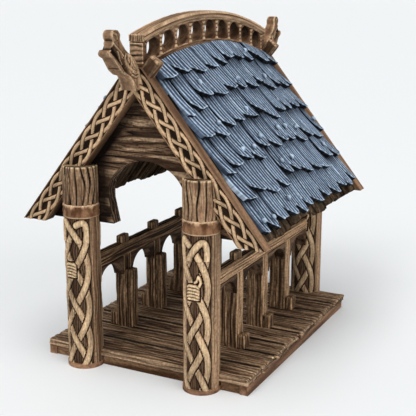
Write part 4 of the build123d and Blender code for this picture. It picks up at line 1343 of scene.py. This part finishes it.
# ---- roof -------------------------------------------------------------------------------------
class LYCHGATE_OT_roof(bpy.types.Operator):
    """Roof boards, courses of tongue-shaped shingles and their pegs"""
    bl_idname = "lychgate.roof"
    bl_label = "Roof"

    # distances across the roof: the shingles' and boards' upper ends from the ridge, the first
    # course's upper edge from the ridge, and the last course's tips from the gable's tip
    TOP, FIRST, EAVE = 3.0, 1.65, 2.15

    def execute(self, context):
        colours = context.scene.lychgate_paint
        roof = context.scene.lychgate_roof
        slate = paint("slate-blue paint", colours.slate, pitch=0.6, lines=0.25, brushing=1.0,
                      bump=0.25, wash=colours.slate_wash_and_shade, brushed=colours.slate_pale,
                      spacing=1.45, wander=0.10, combing=0.72, cresting=1.0, thinness=8.5)
        # the roof boards are painted near black: dark paint with painted shade for the shade under
        # the roof
        under = paint("roof board paint with painted shade", colours.roof_board, pitch=0.8, lines=0.8,
                      brushing=0.06, gloss=0.0)
        slope, plane = gable_slope()[1], roof_shape()[1]
        for side, s in SIDES.items():
            give(self.shingles(side, s, roof, slope, plane), slate)
            give(self.boards(side, s, roof, plane), under)
        give(self.pegs(roof, slope, plane), slate)
        return {"FINISHED"}

    def boards(self, side, s, roof, plane):
        """Boards laid down the slope under the shingles, with uneven ends at the eave."""
        low, high = box_mm("roof_boards_" + side)
        rng = np.random.default_rng(17 + s)
        pitch = roof.board_pitch * 1000
        count = int(round(2 * BARGE_BACK / pitch))
        places = (np.arange(count) - (count - 1) / 2) * 2 * BARGE_BACK / count
        eave = max(abs(low[0]), abs(high[0]))
        ends = eave - 0.2 + rng.uniform(-0.5, 0.45, count)
        depth, thick = -2.0, 2.1
        reach = ends - 0.9
        start = np.stack([s * (self.TOP + 0 * places), places,
                          plane(self.TOP, places, depth)], -1)
        end = np.stack([s * reach, places, plane(reach, places, depth)], -1)
        return timbers("roof_planks_" + side, start, end, np.tile(ACROSS_Y, (count, 1)),
                       (pitch - roof.board_gap * 1000) / 2, thick / 2,
                       ["roof_boards_" + side], corner=0.35, seed=71 + s, rows=32, pitch=1.6,
                       depth=0.25, ragged=0.4, per_side=8)

    def course_step(self, roof):
        """Distance across the roof between the tips of two courses."""
        return (TIP_X - self.EAVE - self.FIRST) / roof.courses

    def lay(self, s, roof):
        """Places of all shingles of a slope.  Each row gives the course, the middle, the half
        width, the tip's distance from the ridge, where the two edges turn in and the two
        corners of the tip as shares, the tip's lift, and a free number."""
        rng = np.random.default_rng(5 if s > 0 else 8)
        courses = roof.courses
        step = self.course_step(roof)
        rows = []
        for course in range(courses):
            count = int(round(2 * BARGE_BACK / (roof.shingle_width * 1000))) + course % 2
            share = rng.uniform(0.82, 1.20, count)
            share[[0, -1]] = 0.88 - 0.3 * (course % 2)
            edges = BARGE_BACK * (2 * np.concatenate([[0], np.cumsum(share)]) / share.sum() - 1)
            tip = self.FIRST + (course + 1) * step + rng.uniform(-1.3, 0.9, count)
            if course == courses - 1:
                tip = TIP_X - self.EAVE + rng.uniform(-1.0, 0.25, count)
            near_turn = rng.uniform(0.70, 0.88, count)
            far_turn = rng.uniform(0.79, 0.93, count)
            near_turn[0] = far_turn[-1] = 0.93
            rows.append(np.column_stack([
                np.full(count, course), (edges[1:] + edges[:-1]) / 2, np.diff(edges) / 2, tip,
                near_turn, far_turn,
                rng.uniform(-0.55, 0.20, count), rng.uniform(0.40, 0.80, count),
                rng.uniform(-0.30, 0.35, count) - 0.75 * (course == courses - 1),
                rng.uniform(-1, 1, count)]))
        return np.concatenate(rows)

    def shingles(self, side, s, roof, slope, plane):
        """Tongue-shaped shingles.

        Each is a ring of 16 points carried down the slope in 16 steps.  Each of its two edges
        runs straight, and then turns in, as a power of the way past the turn, to its own corner
        of the blunt tip.  Its upper face stands higher above the roof towards the tip, as a
        power of the share of its length, and its lower face follows at its thickness."""
        data = self.lay(s, roof)
        course, middle, half, tip, turn_a, turn_b, tip_a, tip_b, lift, twist = data.T[..., None]
        full = roof.shingle_length * 1000 * (1 + 0.05 * twist)
        thick = roof.shingle_thick * 1000
        steps = np.array([0, 0.3, 0.55, 0.70, 0.74, 0.77, 0.80, 0.83, 0.86, 0.89, 0.92, 0.945,
                          0.97, 0.99, 1.0, 1.0])[None]
        last = np.arange(steps.size) == steps.size - 1

        def edge(turn, corner):
            """Share of the half width that an edge keeps at each step."""
            fall = np.clip((steps - turn) / (1 - turn), 0, 1)
            return 1 - (1 - corner) * fall ** 1.25

        left, right = -edge(turn_a, tip_a), edge(turn_b, tip_b)
        side_gap = 0.30
        wide = half - side_gap - 0.10 * last
        u = np.array([0, 0.025, 0.08, 0.28, 0.5, 0.72, 0.92, 0.975, 1,
                      1, 1, 0.97, 0.5, 0.03, 0, 0])
        h = np.array([0.88, 0.97, 1, 1, 1, 1, 1, 0.97, 0.88,
                      0.78, 0.10, 0, 0, 0, 0.10, 0.78])
        is_top = h > 0.8
        share = left[..., None] + (right - left)[..., None] * u
        down = np.maximum((tip - self.TOP) / np.cos(slope) - full * (1 - steps), 0.2)
        notch = 0.22 * ripple(9 + s, share * 1.6 + 9 * twist[..., None], course[..., None])
        down = down[..., None] + notch * np.clip((steps[..., None] - 0.9) / 0.1, 0, 1)
        across = middle[..., None] + wide[..., None] * share
        across = across + 0.10 * twist[..., None] * (steps[..., None] - 1)
        ridged = 0.10 * ripple(3 + s, across * 1.15, down / 9 + course[..., None])
        body = thick * (0.8 + 0.2 * steps[..., None])
        tip_rise = 2.35 + lift
        rise_at = (0.10 + tip_rise * steps ** 2.1 + 0.1 * twist)[..., None]
        over = np.maximum(rise_at - body + body * h + ridged * is_top, -0.85)
        x = self.TOP + down * np.cos(slope)
        ground = plane(x, across, 0 * over)
        limit = BARGE_BACK - 0.02
        rings = np.stack([s * (x + over * np.sin(slope)), np.clip(across, -limit, limit),
                          ground + over * np.cos(slope)], -1)
        rim = np.clip(1 - np.minimum(u, 1 - u) / 0.07, 0, 1) * is_top
        taper = np.clip((steps - np.minimum(turn_a, turn_b)) * 6, 0, 1)[..., None]
        tipped = np.clip((steps - 0.972) / 0.02, 0, 1)[..., None] * is_top
        # painted shadow: the part of each shingle under the course above is washed dark, fading out
        # 0.75 mm below where that course's tips lie
        above = (self.FIRST + course * self.course_step(roof) - self.TOP) / np.cos(slope)
        hidden = np.clip(0.25 + (above[..., None] - down) / 3.0, 0, 1)
        # painted shade on the end face of each tip
        shaded_tip_face = last[None, :, None] * 1.0
        # painted shade: the flanks and underside are washed dark, less so at both ends of the roof
        # beside the bargeboards
        inner = 1 - 0.75 * (np.abs(across) > limit - 0.5)
        piece = np.arange(len(data))[:, None, None] * 7.3
        none = np.zeros_like(over)
        tones = {
            "ridge": np.clip(rim * (0.2 + 0.7 * taper) + 0.8 * tipped + none, 0, 1) * (1 - shaded_tip_face),
            "groove": np.clip((1 - is_top) * 0.97 * inner + hidden * 0.95 + shaded_tip_face + none, 0, 1),
            "grain": np.stack([down + piece, across + piece, piece + none], -1),
        }
        return skin("shingles_" + side, rings, tones,
                    ["shingle_courses_" + side])

    def pegs(self, roof, slope, plane):
        """Round pegs: each is a half ball, a ring of 12 points carried from its foot to its top
        while the radius falls as the cosine and the height grows as the sine."""
        turn = np.linspace(0, pi / 2, 6)
        around = np.linspace(0, 2 * pi, 12, endpoint=False)
        foot = 1.55
        rings = []
        for s in SIDES.values():
            data = self.lay(s, roof)
            rng = np.random.default_rng(23 + s)
            chosen = data[rng.uniform(size=len(data)) < roof.peg_share]
            radius = roof.peg_radius * 1000
            x = chosen[:, 3] - rng.uniform(2.0, 3.4, len(chosen))
            y = chosen[:, 1] + rng.uniform(-0.4, 0.4, len(chosen)) * chosen[:, 2]
            flat = radius * np.cos(turn)[None, :, None]
            side_u = flat * np.cos(around)[None, None]
            side_v = flat * np.sin(around)[None, None]
            over = foot + radius * np.sin(turn)[None, :, None] * 1.05 + 0 * side_u
            gx = x[:, None, None] + side_u * np.cos(slope)
            gy = y[:, None, None] + side_v
            gz = plane(gx, gy, 0) + over * np.cos(slope)
            rings.append(np.stack([s * (gx + over * np.sin(slope)), gy, gz], -1))
        rings = np.concatenate(rings)
        top = np.broadcast_to((turn / (pi / 2))[None, :, None], rings.shape[:3])
        tones = {"ridge": np.clip(top * 1.3, 0, 1), "groove": np.clip(0.8 - top * 2, 0, 1),
                 "grain": rings}
        return skin("shingle_pegs", rings, tones)


# ---- ridge and crest --------------------------------------------------------------------------
class LYCHGATE_OT_crest(bpy.types.Operator):
    """Ridge beam, pierced crest with turned columns, and the grooved rail on top"""
    bl_idname = "lychgate.crest"
    bl_label = "Crest"

    def execute(self, context):
        colours = context.scene.lychgate_paint
        arc_fall = roof_shape()[0]
        give("ridge_beam", paint("ridge beam paint", colours.timber, pitch=0.6, bump=0.2,
                                 along="y"))
        # painted shade inside the web's openings, deepest at their tops
        give("crest_web", paint("pierced web paint", colours.timber, pitch=0.6, bump=0.2,
                                along="y", shade=painted_shade_in_openings))
        give(self.rail(arc_fall), paint("crest rail paint", colours.crest, lines=0.4,
                                        brushing=1.0))
        carved = paint("carved crest paint", colours.timber, lines=0.5, brushing=1.0)
        for piece in (self.mouldings(arc_fall), self.columns(arc_fall),
                      self.end_grain(arc_fall)):
            give(piece, carved)
        return {"FINISHED"}

    def bend(self, arc_fall, half_length):
        """The function that moves a straight timber along y onto the ridge's arc."""
        def bow(share):
            """Offset at a share of the timber's length."""
            y = (2 * share - 1) * half_length
            return np.stack([0 * y, 0 * y, -arc_fall(y)], -1)
        return bow

    def rail(self, arc_fall):
        """The rail: a timber with deep grooves that hardly wander, bent along the arc."""
        low, high = box_mm("crest_rail")
        reach = high[1]
        foot, top = box_mm("crest_web")[1][2], high[2] - 0.06
        middle = (top + foot) / 2
        return timbers("grooved_rail", [[0, -reach, middle]], [[0, reach, middle]],
                       [ACROSS_X], (high[0] - low[0]) / 2, (top - foot) / 2,
                       ["crest_rail"], corner=0.75, seed=91, rows=170, pitch=1.10, depth=0.30,
                       per_side=20, bow=self.bend(arc_fall, reach), wander=0.14,
                       stretch=36.0)

    def mouldings(self, arc_fall):
        """Rounded strips along both faces of the web, under the rail and over the shingles."""
        high = box_mm("crest_web")[1]
        reach, top, out = high[1] - 0.3, high[2], 1.87
        places = [(s * out, level) for s in SIDES.values() for level in (top - 0.2, top - 6.6)]
        return timbers("crest_mouldings", [[x, -reach, z] for x, z in places],
                       [[x, reach, z] for x, z in places], np.tile(ACROSS_X, (4, 1)), 0.34,
                       0.26, corner=0.18, seed=97, rows=90, pitch=0.9,
                       depth=0.06, per_side=2, bow=self.bend(arc_fall, reach))

    def columns(self, arc_fall):
        """Little turned columns between the ovals: a half round whose radius swells in beads,
        as the size of a sine of the height does, and widens towards both ends, where the ovals
        leave room."""
        top, reach = box_mm("crest_web")[1][2], 40.6
        tall, pitch, count = 6.1, 8.98, 10
        oval_half_wide, oval_half_tall = 3.69, 2.95
        y = np.repeat((np.arange(count) - (count - 1) / 2) * pitch, 2)[:, None, None]
        sign = np.tile([-1.0, 1.0], count)[:, None, None]
        share = np.linspace(0, 1, 41)[None, :, None]
        turn = np.linspace(0, pi, 12)[None, None]
        bead = np.abs(np.sin(share * pi * 5)) ** 0.6
        level = (share - 0.5) * tall
        oval = oval_half_wide * np.sqrt(np.clip(1 - (level / oval_half_tall) ** 2, 0, 1))
        radius = np.minimum(0.92 * (pitch / 2 - oval), 0.34 + 0.16 * bead
                            + 0.6 * (2 * np.abs(share - 0.5)) ** 4)
        y = np.clip(y, -reach, reach)
        px = sign * (1.6 + 0.85 * radius * np.sin(turn)) + 0 * y
        py = y + radius * np.cos(turn) + 0 * px
        pz = top - 0.55 - tall * (1 - share) - arc_fall(y) + 0 * px
        rings = np.stack([px, py, pz], -1)
        shape = rings.shape[:3]
        tones = {"ridge": np.broadcast_to(bead ** 2, shape) * 0.9,
                 "groove": np.broadcast_to(np.clip(1.1 - 2.6 * bead, 0, 1), shape),
                 "grain": rings}
        return skin("crest_columns", rings, tones)

    def end_grain(self, arc_fall):
        """Thin plates over both ends of the crest: upright grooves on the rail's end and level
        ones on the web's.  A plate is a grid in x and z that stands out by its relief."""
        rail_high, web_high = box_mm("crest_rail")[1], box_mm("crest_web")[1]
        plates, all_tones = [], {"ridge": [], "groove": [], "grain": []}
        for e in ENDS.values():
            drop = float(arc_fall(e * rail_high[1]))
            top, joint = rail_high[2] - drop, web_high[2] - drop
            for x_half, z0, z1, y0, upright, pitch in (
                    (2.45, joint + 0.2, top - 0.25, rail_high[1], True, 0.62),
                    (2.15, joint - 6.0, joint - 0.15, web_high[1], False, 1.25)):
                x, z = np.meshgrid(np.linspace(-x_half, x_half, 46), np.linspace(z0, z1, 44))
                across, along = (x, z) if upright else (z, x)
                line = grain_grooves(101 + int(upright), along, across, pitch, wander=0.25,
                                     sharp=0.22)
                edge = np.minimum(x_half - np.abs(x), np.minimum(z - z0, z1 - z))
                round_off = 0.2 * np.clip(1 - edge / 0.3, 0, 1) ** 2
                out = y0 + 0.28 - 0.26 * line - round_off
                full_x = np.concatenate([x, x[:, ::-1]], 1)
                full_z = np.concatenate([z, z], 1)
                full_y = np.concatenate([out, y0 - 0.4 + 0 * out], 1)
                plates.append(np.stack([full_x, e * full_y, full_z], -1))
                blank = np.zeros_like(line)
                rim = np.clip(1 - edge / 0.25, 0, 1)
                for tone, value in (("ridge", np.clip(0.5 * (1 - line) + rim, 0, 1)),
                                    ("groove", line * 0.95)):
                    all_tones[tone].append(np.concatenate([value, blank], 1))
                all_tones["grain"].append(np.stack([full_z, full_x, full_y], -1))
        return skin("crest_end_grain", np.array(plates),
                    {key: np.array(value) for key, value in all_tones.items()})


# ---- panel, registration and run --------------------------------------------------------------
OPERATORS = (LYCHGATE_OT_studio, LYCHGATE_OT_posts, LYCHGATE_OT_deck, LYCHGATE_OT_side_rails,
             LYCHGATE_OT_gables, LYCHGATE_OT_dragon_heads, LYCHGATE_OT_roof, LYCHGATE_OT_crest)
GROUPS = (LychgateCarving, LychgateRoof, LychgatePaint)


class VIEW3D_PT_lychgate(bpy.types.Panel):
    """Buttons for the parts of the lychgate"""
    bl_idname = "VIEW3D_PT_lychgate"
    bl_label = "Lychgate"
    bl_space_type = "VIEW_3D"
    bl_region_type = "UI"
    bl_category = "Lychgate"

    def draw(self, context):
        for operator in OPERATORS:
            self.layout.operator(operator.bl_idname)
        for group in ("lychgate_carving", "lychgate_roof", "lychgate_paint"):
            holder = getattr(context.scene, group)
            column = self.layout.column(align=True)
            for key in holder.__annotations__:
                column.prop(holder, key)


def register():
    """Makes the classes and the scene's three groups of values known."""
    for group in GROUPS + OPERATORS + (VIEW3D_PT_lychgate,):
        bpy.utils.register_class(group)
    bpy.types.Scene.lychgate_carving = bpy.props.PointerProperty(type=LychgateCarving)
    bpy.types.Scene.lychgate_roof = bpy.props.PointerProperty(type=LychgateRoof)
    bpy.types.Scene.lychgate_paint = bpy.props.PointerProperty(type=LychgatePaint)


def unregister():
    """Takes back what register made."""
    del bpy.types.Scene.lychgate_paint
    del bpy.types.Scene.lychgate_roof
    del bpy.types.Scene.lychgate_carving
    for group in reversed(GROUPS + OPERATORS + (VIEW3D_PT_lychgate,)):
        bpy.utils.unregister_class(group)


def main():
    """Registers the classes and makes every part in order."""
    register()
    fine_grain_group()
    brushed_paint_group()
    bpy.ops.lychgate.studio()
    bpy.ops.lychgate.posts()
    bpy.ops.lychgate.deck()
    bpy.ops.lychgate.side_rails()
    bpy.ops.lychgate.gables()
    bpy.ops.lychgate.dragon_heads()
    bpy.ops.lychgate.roof()
    bpy.ops.lychgate.crest()


if __name__ == "__main__":
    main()
